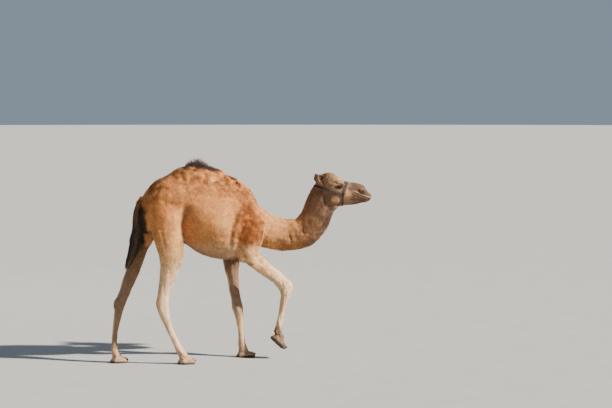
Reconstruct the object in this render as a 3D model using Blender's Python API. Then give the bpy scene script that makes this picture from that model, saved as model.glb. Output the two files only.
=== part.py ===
"""A young dromedary camel, walking, life size, as one solid for each named part of the body.

+X is the way it heads, +Y is its left, +Z is up, and the floor is at z = 0. Three feet stand on the floor
and the right forefoot is lifted in mid stride. The body is modelled whole, from masses of muscle and bone
that are fused, and is then parted by thin cuts. The solids reach out to the tips of the coat.
"""

import math

import bmesh
import bpy
import numpy as np
from mathutils import Matrix, Vector
from mathutils.bvhtree import BVHTree

# Driving dimensions, in metres.
CREST = 1.72  # top of the woolly tuft on the hump
BODY_VOXEL = 0.010
HEAD_VOXEL = 0.0045
BODY_TRIANGLES = 3000
HEAD_TRIANGLES = 1200
CUT = 0.0005  # width of a parting cut
GAP = 0.0005  # clearance round an eye, a nail, an ear and the halter
EYE_RADIUS = 0.0205
SOLE = 0.017  # thickness of a foot's leathery pad
FRONT_FOOT = (0.158, 0.140)  # length and width of a forefoot
HIND_FOOT = (0.146, 0.124)
HEAD_TURN = 15.0  # degrees that the neck bends to the right
TURN_FROM, TURN_LENGTH = 0.62, 0.30  # where along the neck it bends, all of it short of the head
RIGHT, LEFT = -1, 1
SIDE_NAMES = {RIGHT: "right", LEFT: "left"}

# The trunk's and the head's sections stand upright: x, top, bottom, half width, and how much broader the
# section is below than above.
TRUNK = (
    (-0.590, 1.300, 1.200, 0.035, 0.00),
    (-0.570, 1.345, 1.150, 0.075, 0.00),
    (-0.535, 1.398, 1.110, 0.115, 0.00),
    (-0.490, 1.458, 1.090, 0.145, -0.05),
    (-0.420, 1.535, 1.075, 0.172, -0.10),
    (-0.320, 1.577, 1.060, 0.184, -0.10),
    (-0.240, 1.590, 1.030, 0.196, 0.00),
    (-0.150, 1.600, 0.975, 0.220, 0.15),
    (-0.060, 1.605, 0.912, 0.240, 0.24),
    (0.050, 1.603, 0.870, 0.249, 0.28),
    (0.150, 1.590, 0.855, 0.240, 0.24),
    (0.240, 1.556, 0.856, 0.218, 0.15),
    (0.320, 1.512, 0.868, 0.188, 0.05),
    (0.390, 1.455, 0.888, 0.158, 0.00),
    (0.440, 1.378, 0.918, 0.128, 0.00),
    (0.485, 1.296, 0.955, 0.094, 0.00),
    (0.520, 1.200, 1.020, 0.050, 0.00),
)
HEAD = (
    (0.985, 1.500, 1.400, 0.040, 0.00),
    (1.009, 1.543, 1.330, 0.068, 0.00),
    (1.048, 1.570, 1.290, 0.085, -0.05),
    (1.092, 1.581, 1.272, 0.092, -0.10),
    (1.131, 1.577, 1.272, 0.092, -0.12),
    (1.167, 1.556, 1.280, 0.086, -0.12),
    (1.205, 1.526, 1.290, 0.075, -0.10),
    (1.239, 1.503, 1.296, 0.064, -0.06),
    (1.283, 1.496, 1.302, 0.056, 0.00),
    (1.330, 1.492, 1.312, 0.052, 0.04),
    (1.373, 1.475, 1.319, 0.051, 0.04),
    (1.404, 1.451, 1.326, 0.052, 0.00),
    (1.434, 1.419, 1.336, 0.048, 0.00),
    (1.459, 1.384, 1.345, 0.036, 0.00),
)
# The neck's and the tail's sections stand square to their path: x, z, half depth and half width.
NECK = (
    (0.360, 1.160, 0.178, 0.112),
    (0.470, 1.118, 0.165, 0.112),
    (0.557, 1.086, 0.148, 0.102),
    (0.625, 1.064, 0.144, 0.096),
    (0.703, 1.049, 0.141, 0.090),
    (0.775, 1.047, 0.138, 0.085),
    (0.834, 1.053, 0.135, 0.081),
    (0.884, 1.072, 0.136, 0.078),
    (0.930, 1.114, 0.135, 0.077),
    (0.980, 1.184, 0.135, 0.076),
    (1.010, 1.260, 0.134, 0.076),
    (1.036, 1.328, 0.133, 0.078),
    (1.060, 1.392, 0.126, 0.080),
    (1.076, 1.450, 0.108, 0.074),
)
TAIL = (
    (-0.505, 1.398, 0.030, 0.034),
    (-0.550, 1.344, 0.031, 0.038),
    (-0.578, 1.275, 0.034, 0.042),
    (-0.585, 1.200, 0.040, 0.047),
    (-0.587, 1.110, 0.048, 0.052),
    (-0.600, 1.020, 0.047, 0.052),
    (-0.618, 0.950, 0.038, 0.044),
    (-0.645, 0.880, 0.026, 0.030),
    (-0.668, 0.830, 0.016, 0.019),
    (-0.686, 0.784, 0.005, 0.006),
)
# Legs run from the trunk to the fetlock: x, y without its side's sign, z, half depth and half width.
LEGS = {
    "front_right": (
        (0.300, 0.100, 1.420, 0.060, 0.036),
        (0.335, 0.132, 1.290, 0.100, 0.062),
        (0.362, 0.150, 1.140, 0.124, 0.078),
        (0.350, 0.155, 1.000, 0.120, 0.079),
        (0.352, 0.153, 0.910, 0.094, 0.068),
        (0.398, 0.148, 0.850, 0.073, 0.056),
        (0.470, 0.143, 0.790, 0.063, 0.050),
        (0.560, 0.137, 0.722, 0.058, 0.045),
        (0.628, 0.133, 0.668, 0.057, 0.044),
        (0.674, 0.130, 0.612, 0.060, 0.047),
        (0.681, 0.130, 0.548, 0.045, 0.042),
        (0.662, 0.130, 0.480, 0.035, 0.035),
        (0.643, 0.130, 0.410, 0.026, 0.029),
        (0.630, 0.130, 0.340, 0.025, 0.028),
        (0.617, 0.130, 0.270, 0.034, 0.034),
        (0.607, 0.130, 0.215, 0.037, 0.038),
    ),
    "front_left": (
        (0.300, 0.100, 1.420, 0.060, 0.036),
        (0.335, 0.132, 1.290, 0.100, 0.062),
        (0.356, 0.150, 1.140, 0.124, 0.078),
        (0.320, 0.150, 1.000, 0.112, 0.076),
        (0.282, 0.140, 0.900, 0.092, 0.067),
        (0.274, 0.128, 0.800, 0.072, 0.054),
        (0.284, 0.112, 0.680, 0.055, 0.045),
        (0.294, 0.100, 0.580, 0.048, 0.040),
        (0.307, 0.090, 0.490, 0.046, 0.041),
        (0.315, 0.083, 0.430, 0.049, 0.045),
        (0.324, 0.078, 0.370, 0.041, 0.040),
        (0.334, 0.073, 0.300, 0.030, 0.032),
        (0.342, 0.068, 0.200, 0.026, 0.028),
        (0.348, 0.065, 0.120, 0.033, 0.034),
        (0.362, 0.065, 0.070, 0.036, 0.040),
    ),
    "hind_right": (
        (-0.355, 0.085, 1.430, 0.110, 0.060),
        (-0.370, 0.118, 1.270, 0.140, 0.086),
        (-0.364, 0.136, 1.110, 0.132, 0.088),
        (-0.344, 0.142, 1.000, 0.122, 0.076),
        (-0.331, 0.143, 0.920, 0.112, 0.066),
        (-0.337, 0.142, 0.840, 0.094, 0.057),
        (-0.354, 0.140, 0.760, 0.077, 0.049),
        (-0.370, 0.139, 0.690, 0.065, 0.043),
        (-0.391, 0.138, 0.615, 0.055, 0.038),
        (-0.403, 0.137, 0.550, 0.054, 0.037),
        (-0.403, 0.137, 0.480, 0.053, 0.038),
        (-0.385, 0.138, 0.400, 0.041, 0.034),
        (-0.354, 0.140, 0.310, 0.031, 0.029),
        (-0.314, 0.142, 0.220, 0.028, 0.027),
        (-0.272, 0.145, 0.135, 0.033, 0.033),
        (-0.242, 0.146, 0.080, 0.036, 0.038),
    ),
    "hind_left": (
        (-0.365, 0.085, 1.430, 0.110, 0.060),
        (-0.412, 0.118, 1.270, 0.145, 0.086),
        (-0.478, 0.136, 1.110, 0.120, 0.088),
        (-0.532, 0.138, 0.990, 0.088, 0.070),
        (-0.562, 0.134, 0.870, 0.073, 0.056),
        (-0.592, 0.130, 0.767, 0.063, 0.048),
        (-0.629, 0.127, 0.677, 0.056, 0.041),
        (-0.664, 0.124, 0.595, 0.049, 0.037),
        (-0.694, 0.121, 0.525, 0.048, 0.037),
        (-0.714, 0.119, 0.448, 0.041, 0.036),
        (-0.732, 0.118, 0.368, 0.031, 0.031),
        (-0.746, 0.117, 0.285, 0.026, 0.027),
        (-0.756, 0.116, 0.195, 0.026, 0.026),
        (-0.757, 0.116, 0.118, 0.033, 0.033),
        (-0.742, 0.116, 0.070, 0.036, 0.038),
    ),
}
# Each foot's sole centre and the angle that its toes point down.
FEET = {
    "front_right": ((0.600, 0.130, 0.130), 43.0, FRONT_FOOT),
    "front_left": ((0.380, 0.065, 0.0), 0.0, FRONT_FOOT),
    "hind_right": ((-0.208, 0.147, 0.0), 0.0, HIND_FOOT),
    "hind_left": ((-0.722, 0.116, 0.0), 0.0, HIND_FOOT),
}
# The station at which each leg bends, and the box round each leg: x0, x1 and the inner y without its
# side's sign, below the floor and at the top.
MIDDLE_JOINT = {"front_right": 9, "front_left": 9, "hind_right": 9, "hind_left": 8}
LEG_BOXES = {
    "front_right": ((0.160, 1.280, 0.045, -0.05), (0.160, 0.500, 0.092, 0.985)),
    "front_left": ((0.130, 0.560, -0.035, -0.05), (0.130, 0.500, 0.092, 0.985)),
    "hind_right": ((-0.600, -0.080, 0.040, -0.05), (-0.600, -0.190, 0.058, 1.130)),
    "hind_left": ((-0.900, -0.280, 0.030, -0.05), (-0.720, -0.290, 0.058, 1.130)),
}
EYE = Vector((1.185, 0.0, 1.458))  # the eye's place on the side of the head; y comes from the head's surface
EYE_SHOWS = 0.009  # how far the eyeball stands out of the socket's floor
EAR_BASE = Vector((1.027, 0.072, 1.484))
# Each parting cut as a point on it and its normal.
HEAD_CUT = (Vector((1.060, 0.0, 1.375)), Vector((0.66, 0.0, 0.62)))
TRUNK_CUT = (Vector((0.530, 0.0, 1.095)), Vector((0.930, 0.0, -0.25)))


def side_of(leg):
    return RIGHT if leg.endswith("right") else LEFT


# ---------------------------------------------------------------- Blender helpers


def clear_scene():
    for obj in list(bpy.data.objects):
        bpy.data.objects.remove(obj)


def finish(name, colour, roughness):
    """The named Principled material."""
    found = bpy.data.materials.get(name)
    if found:
        return found
    made = bpy.data.materials.new(name)
    made.use_nodes = True
    shader = made.node_tree.nodes["Principled BSDF"]
    shader.inputs["Base Color"].default_value = (*colour, 1.0)
    shader.inputs["Roughness"].default_value = roughness
    shader.inputs["Metallic"].default_value = 0.0
    return made


FLEECE = ("fleece", (0.58, 0.38, 0.22), 0.9)
WOOL = ("dark_wool", (0.10, 0.055, 0.035), 0.95)
PAD = ("foot_pad", (0.05, 0.045, 0.04), 0.8)
NAIL = ("nail", (0.16, 0.12, 0.09), 0.5)
EYEBALL = ("eyeball", (0.02, 0.012, 0.008), 0.08)
WEBBING = ("webbing", (0.06, 0.035, 0.028), 0.85)


def add_object(name, mesh, material):
    obj = bpy.data.objects.new(name, mesh)
    bpy.context.scene.collection.objects.link(obj)
    obj.data.materials.clear()
    obj.data.materials.append(finish(*material))
    return obj


def mesh_of(bm, name="mass"):
    mesh = bpy.data.meshes.new(name)
    bm.normal_update()
    bm.to_mesh(mesh)
    bm.free()
    return mesh


def evaluated_mesh(obj):
    """The object's mesh with its modifiers applied; the object itself is removed."""
    bpy.context.view_layer.update()
    graph = bpy.context.evaluated_depsgraph_get()
    mesh = bpy.data.meshes.new_from_object(obj.evaluated_get(graph))
    bpy.data.objects.remove(obj)
    return mesh


def scratch(mesh):
    obj = bpy.data.objects.new("scratch", mesh)
    bpy.context.scene.collection.objects.link(obj)
    return obj


def joined(meshes):
    bm = bmesh.new()
    for mesh in meshes:
        bm.from_mesh(mesh)
    return mesh_of(bm)


def boolean(mesh, cutter, operation="DIFFERENCE"):
    """mesh with the cutter taken out of it, or joined to it."""
    body, tool = scratch(mesh), scratch(cutter)
    modifier = body.modifiers.new("cut", "BOOLEAN")
    modifier.operation = operation
    modifier.solver = "EXACT"
    modifier.object = tool
    made = evaluated_mesh(body)
    bpy.data.objects.remove(tool)
    return made


def grown(mesh, by):
    """A copy of the mesh with every vertex moved out along its normal."""
    copy = mesh.copy()
    normals = [v.normal.copy() for v in copy.vertices]
    for vertex, normal in zip(copy.vertices, normals):
        vertex.co += normal * by
    return copy


# ---------------------------------------------------------------- masses


def catmull_rom(a, b, c, d, t):
    """The value at t between b and c, on a smooth curve through all four."""
    return 0.5 * (2 * b + (c - a) * t + (2 * a - 5 * b + 4 * c - d) * t * t + (3 * b - a - 3 * c + d) * t**3)


def smoothed(stations, steps):
    """The stations with steps - 1 more between each pair, on a smooth curve."""
    rows = []
    last = len(stations) - 1
    for i in range(last):
        around = [stations[max(0, min(last, i + k))] for k in (-1, 0, 1, 2)]
        for step in range(steps):
            rows.append([catmull_rom(*values, step / steps) for values in zip(*around)])
    rows.append(list(stations[-1]))
    return rows


def tube(rings):
    """A closed mesh through rings of equally many points, with its ends capped."""
    bm = bmesh.new()
    loops = [[bm.verts.new(point) for point in ring] for ring in rings]
    sides = len(loops[0])
    for lower, upper in zip(loops, loops[1:]):
        for i in range(sides):
            j = (i + 1) % sides
            bm.faces.new((lower[i], lower[j], upper[j], upper[i]))
    bm.faces.new(list(reversed(loops[0])))
    bm.faces.new(loops[-1])
    bmesh.ops.recalc_face_normals(bm, faces=bm.faces)
    return mesh_of(bm)


def column(stations, steps=3, sides=28, egg=0.0, reach=1):
    """A mass along a path. Each station is x, y, z, half depth and half width; its section stands square to
    the path's course over reach stations each way. egg above 0 makes it broader below than above."""
    rows = smoothed(stations, steps)
    centres = [Vector(row[:3]) for row in rows]
    last = len(rows) - 1
    rings = []
    for i, row in enumerate(rows):
        ahead = (centres[min(i + reach * steps, last)] - centres[max(i - reach * steps, 0)]).normalized()
        across = (Vector((0, 1, 0)) - ahead * ahead.y).normalized()
        deep = ahead.cross(across)
        if rings:
            turned_over = deep.dot(last_deep) < 0
        else:
            turned_over = deep.z < 0
        if turned_over:
            deep.negate()
        last_deep = deep
        ring = []
        for k in range(sides):
            angle = math.tau * k / sides
            rise, spread = math.cos(angle), math.sin(angle)
            ring.append(centres[i] + deep * row[3] * rise + across * row[4] * spread * (1 - egg * rise))
        rings.append(ring)
    return tube(rings)


def barrel(stations, steps=3, sides=32):
    """A mass with upright sections, each given as x, top, bottom, half width and egg."""
    rings = []
    for x, top, bottom, wide, egg in smoothed(stations, steps):
        middle, half = (top + bottom) / 2, (top - bottom) / 2
        ring = []
        for k in range(sides):
            angle = math.tau * k / sides
            rise, spread = math.cos(angle), math.sin(angle)
            ring.append(Vector((x, wide * spread * (1 - egg * rise), middle + half * rise)))
        rings.append(ring)
    return tube(rings)


def midline(stations):
    """Stations of x, z, half depth and half width as column() takes them, at y = 0."""
    return [(x, 0.0, z, deep, wide) for x, z, deep, wide in stations]


def ball(centre, radii, turn=(0, 0, 0), segments=24):
    """An ellipsoid, turned by degrees about X, Y and Z."""
    bm = bmesh.new()
    bmesh.ops.create_uvsphere(bm, u_segments=segments, v_segments=segments * 2 // 3, radius=1.0)
    turned = Matrix.LocRotScale(Vector(centre), _euler(turn), Vector(radii))
    bmesh.ops.transform(bm, matrix=turned, verts=bm.verts)
    return mesh_of(bm)


def _euler(turn):
    return (
        Matrix.Rotation(math.radians(turn[2]), 3, "Z")
        @ Matrix.Rotation(math.radians(turn[1]), 3, "Y")
        @ Matrix.Rotation(math.radians(turn[0]), 3, "X")
    ).to_quaternion()


def both_sides(centre, radii, turn=(0, 0, 0)):
    """The same ellipsoid on the left and, mirrored, on the right."""
    x, y, z = centre
    roll, pitch, yaw = turn
    return [ball((x, y, z), radii, turn), ball((x, -y, z), radii, (-roll, pitch, -yaw))]


def fuse(masses, voxel):
    """One skin round all the masses."""
    obj = scratch(joined(masses))
    remesh = obj.modifiers.new("fuse", "REMESH")
    remesh.mode = "VOXEL"
    remesh.voxel_size = voxel
    return evaluated_mesh(obj)


def softened(mesh, rounds, fill=0.5, shrink=0.10):
    """Fills the creases between masses, as skin does over muscle, and rounds what stands out far less."""
    count, edge_count = len(mesh.vertices), len(mesh.edges)
    places = np.empty(count * 3)
    mesh.vertices.foreach_get("co", places)
    places = places.reshape(-1, 3)
    edges = np.empty(edge_count * 2, dtype=np.int64)
    mesh.edges.foreach_get("vertices", edges)
    one, other = edges.reshape(-1, 2).T
    degree = np.bincount(edges, minlength=count)[:, None]
    normals = np.empty(count * 3)
    for _ in range(rounds):
        mesh.vertices.foreach_get("normal", normals)
        total = np.zeros_like(places)
        for axis in range(3):
            total[:, axis] += np.bincount(one, weights=places[other, axis], minlength=count)
            total[:, axis] += np.bincount(other, weights=places[one, axis], minlength=count)
        pull = total / degree - places
        outward = (pull * normals.reshape(-1, 3)).sum(axis=1)
        places = places + pull * np.where(outward > 0, fill, shrink)[:, None]
        mesh.vertices.foreach_set("co", places.ravel())
        mesh.update()
    return mesh


def thinned(mesh, triangles):
    """The mesh with its faces merged down to about that many triangles."""
    count = sum(len(polygon.vertices) - 2 for polygon in mesh.polygons)
    obj = scratch(mesh)
    decimate = obj.modifiers.new("thin", "DECIMATE")
    decimate.ratio = triangles / count
    decimate.use_collapse_triangulate = True
    return evaluated_mesh(obj)


def trunk_masses():
    """Rib cage, loin and croup, with the muscle of shoulders and hips, and the pad under the breast."""
    masses = [barrel(TRUNK)]
    masses += both_sides((0.402, 0.112, 1.120), (0.090, 0.072, 0.125))  # points of the shoulder
    masses += both_sides((0.286, 0.150, 1.050), (0.085, 0.062, 0.140))  # triceps
    masses += both_sides((-0.320, 0.105, 1.440), (0.110, 0.062, 0.075), (0, 20, 0))  # hips
    masses += both_sides((-0.490, 0.070, 1.300), (0.070, 0.060, 0.110), (0, 20, 0))  # pin bones
    masses.append(ball((0.185, 0.0, 0.880), (0.080, 0.064, 0.030)))  # breast pad
    return masses


def hump_masses():
    """The low hump of a young camel and the woolly tuft that stands on it."""
    tuft_length, tuft_width, tuft_height = 0.098, 0.058, 0.072
    return [
        ball((-0.060, 0.0, 1.545), (0.255, 0.135, 0.118)),
        ball((-0.075, 0.0, CREST - tuft_height), (tuft_length, tuft_width, tuft_height), (0, -8, 0)),
        ball((-0.012, 0.0, 1.630), (0.092, 0.054, 0.056), (0, 18, 0)),
    ]


def neck_masses():
    return [column(midline(NECK), egg=0.10, reach=2)]


def leg_masses(leg):
    side = side_of(leg)
    masses = [column([(x, side * y, z, deep, wide) for x, y, z, deep, wide in LEGS[leg]], reach=2)]
    if leg == "hind_right":
        masses.append(ball((-0.452, -0.137, 0.512), (0.016, 0.018, 0.050), (0, -8, 0)))  # point of the hock
    if leg == "hind_left":
        masses.append(ball((-0.745, 0.120, 0.505), (0.018, 0.018, 0.048), (0, 14, 0)))
    if leg == "front_right":
        masses.append(ball((0.292, -0.152, 0.885), (0.050, 0.046, 0.056), (0, 16, 0)))  # point of the elbow
        masses.append(ball((0.686, -0.130, 0.612), (0.060, 0.046, 0.068), (0, -12, 0)))  # bent knee
    if leg == "front_left":
        masses.append(ball((0.222, 0.140, 0.915), (0.046, 0.044, 0.060)))
    return masses


def foot_frame(leg):
    """From a foot's own frame, toes along +X and sole at z = 0, to the body's."""
    (x, y, z), pitch, _ = FEET[leg]
    return Matrix.Translation((x, side_of(leg) * y, z)) @ Matrix.Rotation(math.radians(pitch), 4, "Y")


def foot_masses(leg):
    """A broad pad and two toes that meet at the fetlock. They reach a little below the flat sole."""
    length, width = FEET[leg][2]
    masses = [
        ball((-0.08 * length, 0, 0.012), (0.44 * length, 0.47 * width, 0.034)),
        ball((-0.12 * length, 0, 0.050), (0.27 * length, 0.30 * width, 0.046), (0, 24, 0)),
    ]
    for side in (RIGHT, LEFT):
        toe = (0.22 * length, side * 0.22 * width, 0.014)
        masses.append(ball(toe, (0.30 * length, 0.25 * width, 0.034), (0, 8, side * 7)))
    frame = foot_frame(leg)
    for mass in masses:
        mass.transform(frame)
    return masses


def head_masses():
    masses = [barrel(HEAD)]
    masses += both_sides((1.187, 0.062, 1.490), (0.052, 0.026, 0.020), (0, 20, -14))  # brow ridges
    masses += both_sides((1.161, 0.066, 1.408), (0.085, 0.024, 0.024), (0, 10, -14))  # cheek bones
    masses += both_sides((1.121, 0.056, 1.352), (0.066, 0.034, 0.060))  # jaw muscles
    masses += both_sides((1.385, 0.032, 1.414), (0.048, 0.026, 0.034), (0, 22, 0))  # nostril wings
    masses += both_sides((1.429, 0.021, 1.378), (0.044, 0.026, 0.031), (0, 26, 0))  # halves of the upper lip
    masses.append(ball((1.404, 0.0, 1.340), (0.052, 0.036, 0.020), (0, -10, 0)))  # lower lip
    masses.append(ball((1.303, 0.0, 1.328), (0.110, 0.040, 0.028), (0, -8, 0)))  # lower jaw
    masses.append(ball((1.332, 0.0, 1.470), (0.085, 0.030, 0.020), (0, 12, 0)))  # bridge of the nose
    masses.append(ball((1.121, 0.0, 1.285), (0.060, 0.056, 0.040), (0, -12, 0)))  # throat
    return masses


def head_hollows():
    """What is carved out of the head: the dish round each eye, the nostrils and the mouth's line."""
    hollows = both_sides((1.187, 0.098, 1.457), (0.033, 0.018, 0.020), (0, 12, -18))
    hollows += both_sides((1.390, 0.062, 1.418), (0.020, 0.015, 0.0065), (0, 28, -8))
    corner, tip = Vector((1.310, 0.0, 1.420)), Vector((1.475, 0.0, 1.343))
    steps = 7
    for side in (RIGHT, LEFT):
        line = []
        for step in range(steps + 1):
            share = step / steps
            point = corner.lerp(tip, share)
            sag = -0.006 * math.sin(math.pi * share)
            reach = 0.060 - 0.040 * share**3
            line.append((point.x, side * reach, point.z + sag, 0.0042, 0.016))
        hollows.append(column(line, steps=2, sides=12))
    return hollows


# ---------------------------------------------------------------- parting


def slab(centre, normal, up_half, side_half, thickness=CUT, up=(0, 0, 1)):
    """A thin plate that cuts: square to normal, with its half sizes along up and across."""
    normal = Vector(normal).normalized()
    side = Vector(up).cross(normal).normalized()
    rise = normal.cross(side)
    bm = bmesh.new()
    bmesh.ops.create_cube(bm, size=2.0)
    turned = Matrix((side, rise, normal)).transposed().to_4x4()
    sized = Matrix.Diagonal((side_half, up_half, thickness / 2, 1))
    bmesh.ops.transform(bm, matrix=Matrix.Translation(centre) @ turned @ sized, verts=bm.verts)
    return mesh_of(bm)


def hexahedron(lower, upper):
    """A closed block between two level rectangles, each given as x0, x1, y0, y1 and z."""
    bm = bmesh.new()
    corners = []
    for x0, x1, y0, y1, z in (lower, upper):
        corners.append([bm.verts.new(p) for p in ((x0, y0, z), (x1, y0, z), (x1, y1, z), (x0, y1, z))])
    below, above = corners
    bm.faces.new(list(reversed(below)))
    bm.faces.new(above)
    for i in range(4):
        j = (i + 1) % 4
        bm.faces.new((below[i], below[j], above[j], above[i]))
    bmesh.ops.recalc_face_normals(bm, faces=bm.faces)
    return mesh_of(bm)


def leg_shell(leg):
    """A thin-walled box round a whole leg, which parts it from the trunk."""
    side = side_of(leg)
    blocks = []
    for wall in (0.0, CUT):
        rectangles = []
        for x0, x1, inner, z in LEG_BOXES[leg]:
            y0, y1 = sorted((side * (inner - wall), side * 0.340))
            rise = wall if z > 0 else -wall
            rectangles.append((x0 - wall, x1 + wall, y0, y1, z + rise))
        blocks.append(hexahedron(*rectangles))
    blocks[0].flip_normals()
    return joined(blocks)


def leg_cuts(leg):
    """A leg is parted from the trunk, then at its middle joint and above its foot."""
    side = side_of(leg)
    cuts = [leg_shell(leg)]
    stations = LEGS[leg]
    for index, half in ((MIDDLE_JOINT[leg], 0.095), (len(stations) - 2, 0.075)):
        above, here, below = (Vector(stations[k][:3]) for k in (index - 1, index, index + 1))
        for point in (above, here, below):
            point.y *= side
        cuts.append(slab(here, above - below, half, half, up=(0, 1, 0)))
    return cuts


def pad_cut(leg):
    length, width = FEET[leg][2]
    plate = slab((0, 0, SOLE), (0, 0, 1), width, length, up=(0, 1, 0))
    plate.transform(foot_frame(leg))
    return plate


def sole_block(leg):
    """What lies below a foot's sole."""
    depth = 0.10
    bm = bmesh.new()
    bmesh.ops.create_cube(bm, size=1.0)
    sized = Matrix.Diagonal((0.26, 0.24, depth, 1))
    bmesh.ops.transform(bm, matrix=Matrix.Translation((0, 0, -depth / 2)) @ sized, verts=bm.verts)
    mesh = mesh_of(bm)
    mesh.transform(foot_frame(leg))
    return mesh


def islands(mesh):
    """The separate closed pieces of a mesh, each as its own mesh."""
    bm = bmesh.new()
    bm.from_mesh(mesh)
    bm.verts.ensure_lookup_table()
    seen, pieces = set(), []
    for start in bm.verts:
        if start.index in seen:
            continue
        todo, piece = [start], []
        seen.add(start.index)
        while todo:
            vertex = todo.pop()
            piece.append(vertex)
            for edge in vertex.link_edges:
                other = edge.other_vert(vertex)
                if other.index not in seen:
                    seen.add(other.index)
                    todo.append(other)
        pieces.append({vertex.index for vertex in piece})
    bm.free()
    made = []
    for piece in pieces:
        bm = bmesh.new()
        bm.from_mesh(mesh)
        bm.verts.ensure_lookup_table()
        bmesh.ops.delete(bm, geom=[v for v in bm.verts if v.index not in piece], context="VERTS")
        made.append(mesh_of(bm))
    return made


def centre_of(mesh):
    """The middle of the mesh's bounding box."""
    points = [v.co for v in mesh.vertices]
    low = Vector([min(p[k] for p in points) for k in range(3)])
    high = Vector([max(p[k] for p in points) for k in range(3)])
    return (low + high) / 2


def half_space(mesh, point, normal, keep_ahead):
    """The part of a closed mesh on one side of a plane, closed again there."""
    bm = bmesh.new()
    bm.from_mesh(mesh)
    geometry = bm.verts[:] + bm.edges[:] + bm.faces[:]
    cut = bmesh.ops.bisect_plane(
        bm,
        geom=geometry,
        plane_co=point,
        plane_no=normal,
        clear_inner=keep_ahead,
        clear_outer=not keep_ahead,
    )
    rim = [e for e in cut["geom_cut"] if isinstance(e, bmesh.types.BMEdge)]
    cap = bmesh.ops.contextual_create(bm, geom=rim)
    bmesh.ops.triangulate(bm, faces=cap["faces"])
    bmesh.ops.recalc_face_normals(bm, faces=bm.faces)
    return mesh_of(bm)


def body_anchors():
    """A point near the middle of each part of the body, by the part's name."""
    anchors = {
        "trunk": (-0.04, 0.0, 1.25),
        "hump": (-0.07, 0.0, 1.59),
        "hump_tuft": (-0.05, 0.0, 1.68),
        "neck": (0.78, 0.0, 1.15),
    }
    for leg, stations in LEGS.items():
        side = side_of(leg)
        joint = MIDDLE_JOINT[leg]
        upper, lower = stations[joint - 3], stations[joint + 3]
        anchors[f"leg_{leg}_upper"] = (upper[0], side * upper[1], upper[2])
        anchors[f"leg_{leg}_lower"] = (lower[0], side * lower[1], lower[2])
        frame = foot_frame(leg)
        anchors[f"foot_{leg}"] = tuple(frame @ Vector((-0.01, 0, 0.055)))
        anchors[f"pad_{leg}"] = tuple(frame @ Vector((0, 0, SOLE / 2)))
    return anchors


# ---------------------------------------------------------------- small parts


def eye_centre(side, surface):
    """The eyeball's centre, a set depth inside the carved socket."""
    start = EYE + Vector((0, side * 0.3, 0))
    hit, _, _, _ = surface.ray_cast(start, Vector((0, -side, 0)))
    return Vector((EYE.x, hit.y - side * (EYE_RADIUS - EYE_SHOWS), EYE.z))


def ear(side):
    """A short cupped ear, its hollow turned out and forward."""
    length, width, wall = 0.104, 0.029, 0.0055
    rows, columns = 7, 7
    rings = []
    for i in range(rows):
        t = i / (rows - 1)
        spread = width * (0.62 + 0.75 * math.sin(math.pi * min(1, t * 0.9 + 0.12)) - 0.62 * t**3)
        spread = max(spread, wall + 0.0025)
        curl = math.radians(118 - 42 * t)
        back, hollow = [], []
        for k in range(columns):
            angle = curl * (2 * k / (columns - 1) - 1)
            for ring, radius in ((back, spread), (hollow, spread - wall)):
                middle = spread * 0.3
                left = middle - radius * math.cos(angle)
                ring.append(Vector((radius * math.sin(angle), left, length * t)))
        rings.append(back + list(reversed(hollow)))
    mesh = tube(rings)
    lean = Matrix.Rotation(math.radians(-22), 4, "Y") @ Matrix.Rotation(math.radians(-22), 4, "X")
    mesh.transform(Matrix.Translation(EAR_BASE) @ lean @ Matrix.Rotation(math.radians(-58), 4, "Z"))
    if side == RIGHT:
        mesh.transform(Matrix.Diagonal((1, -1, 1, 1)))
        mesh.flip_normals()
    return mesh


def nail(leg, side, extra=0.0):
    """One of a foot's two nails, at the front of its toe. extra makes it larger all round."""
    length, width = FEET[leg][2]
    radii = (0.016 + extra, 0.012 + extra, 0.0095 + extra)
    mesh = ball((0.462 * length, side * 0.235 * width, 0.029), radii, (0, 26, side * 8), segments=9)
    mesh.transform(foot_frame(leg))
    return mesh


def strap(path, widths, thickness, surface, loop):
    """A flat band that lies on a surface along a path. widths are its half widths along the path."""
    clearance = 0.0030
    count = len(path)
    bm = bmesh.new()
    loops = []
    for i, point in enumerate(path):
        before = path[(i - 1) % count] if loop else path[max(i - 1, 0)]
        after = path[(i + 1) % count] if loop else path[min(i + 1, count - 1)]
        along = (after - before).normalized()
        _, normal, _, _ = surface.find_nearest(point)
        across = along.cross(normal).normalized()
        near, far = [], []
        for way in (-1, 1):
            foot, out, _, _ = surface.find_nearest(point + across * way * widths[i])
            near.append(foot + out * clearance)
            far.append(foot + out * (clearance + thickness))
        loops.append([bm.verts.new(p) for p in (near[0], near[1], far[1], far[0])])
    pairs = list(zip(loops, loops[1:]))
    if loop:
        pairs.append((loops[-1], loops[0]))
    for lower, upper in pairs:
        for i in range(4):
            j = (i + 1) % 4
            bm.faces.new((lower[i], lower[j], upper[j], upper[i]))
    if not loop:
        bm.faces.new(list(reversed(loops[0])))
        bm.faces.new(loops[-1])
    bmesh.ops.recalc_face_normals(bm, faces=bm.faces)
    return mesh_of(bm)


def around(surface, centre, direction, angles):
    """Where rays from outside meet the surface. direction turns each angle into a ray from the centre."""
    points = []
    for angle in angles:
        ray = direction(math.radians(angle))
        hit, _, _, _ = surface.ray_cast(centre + ray * 0.5, -ray)
        points.append(hit)
    return points


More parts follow.
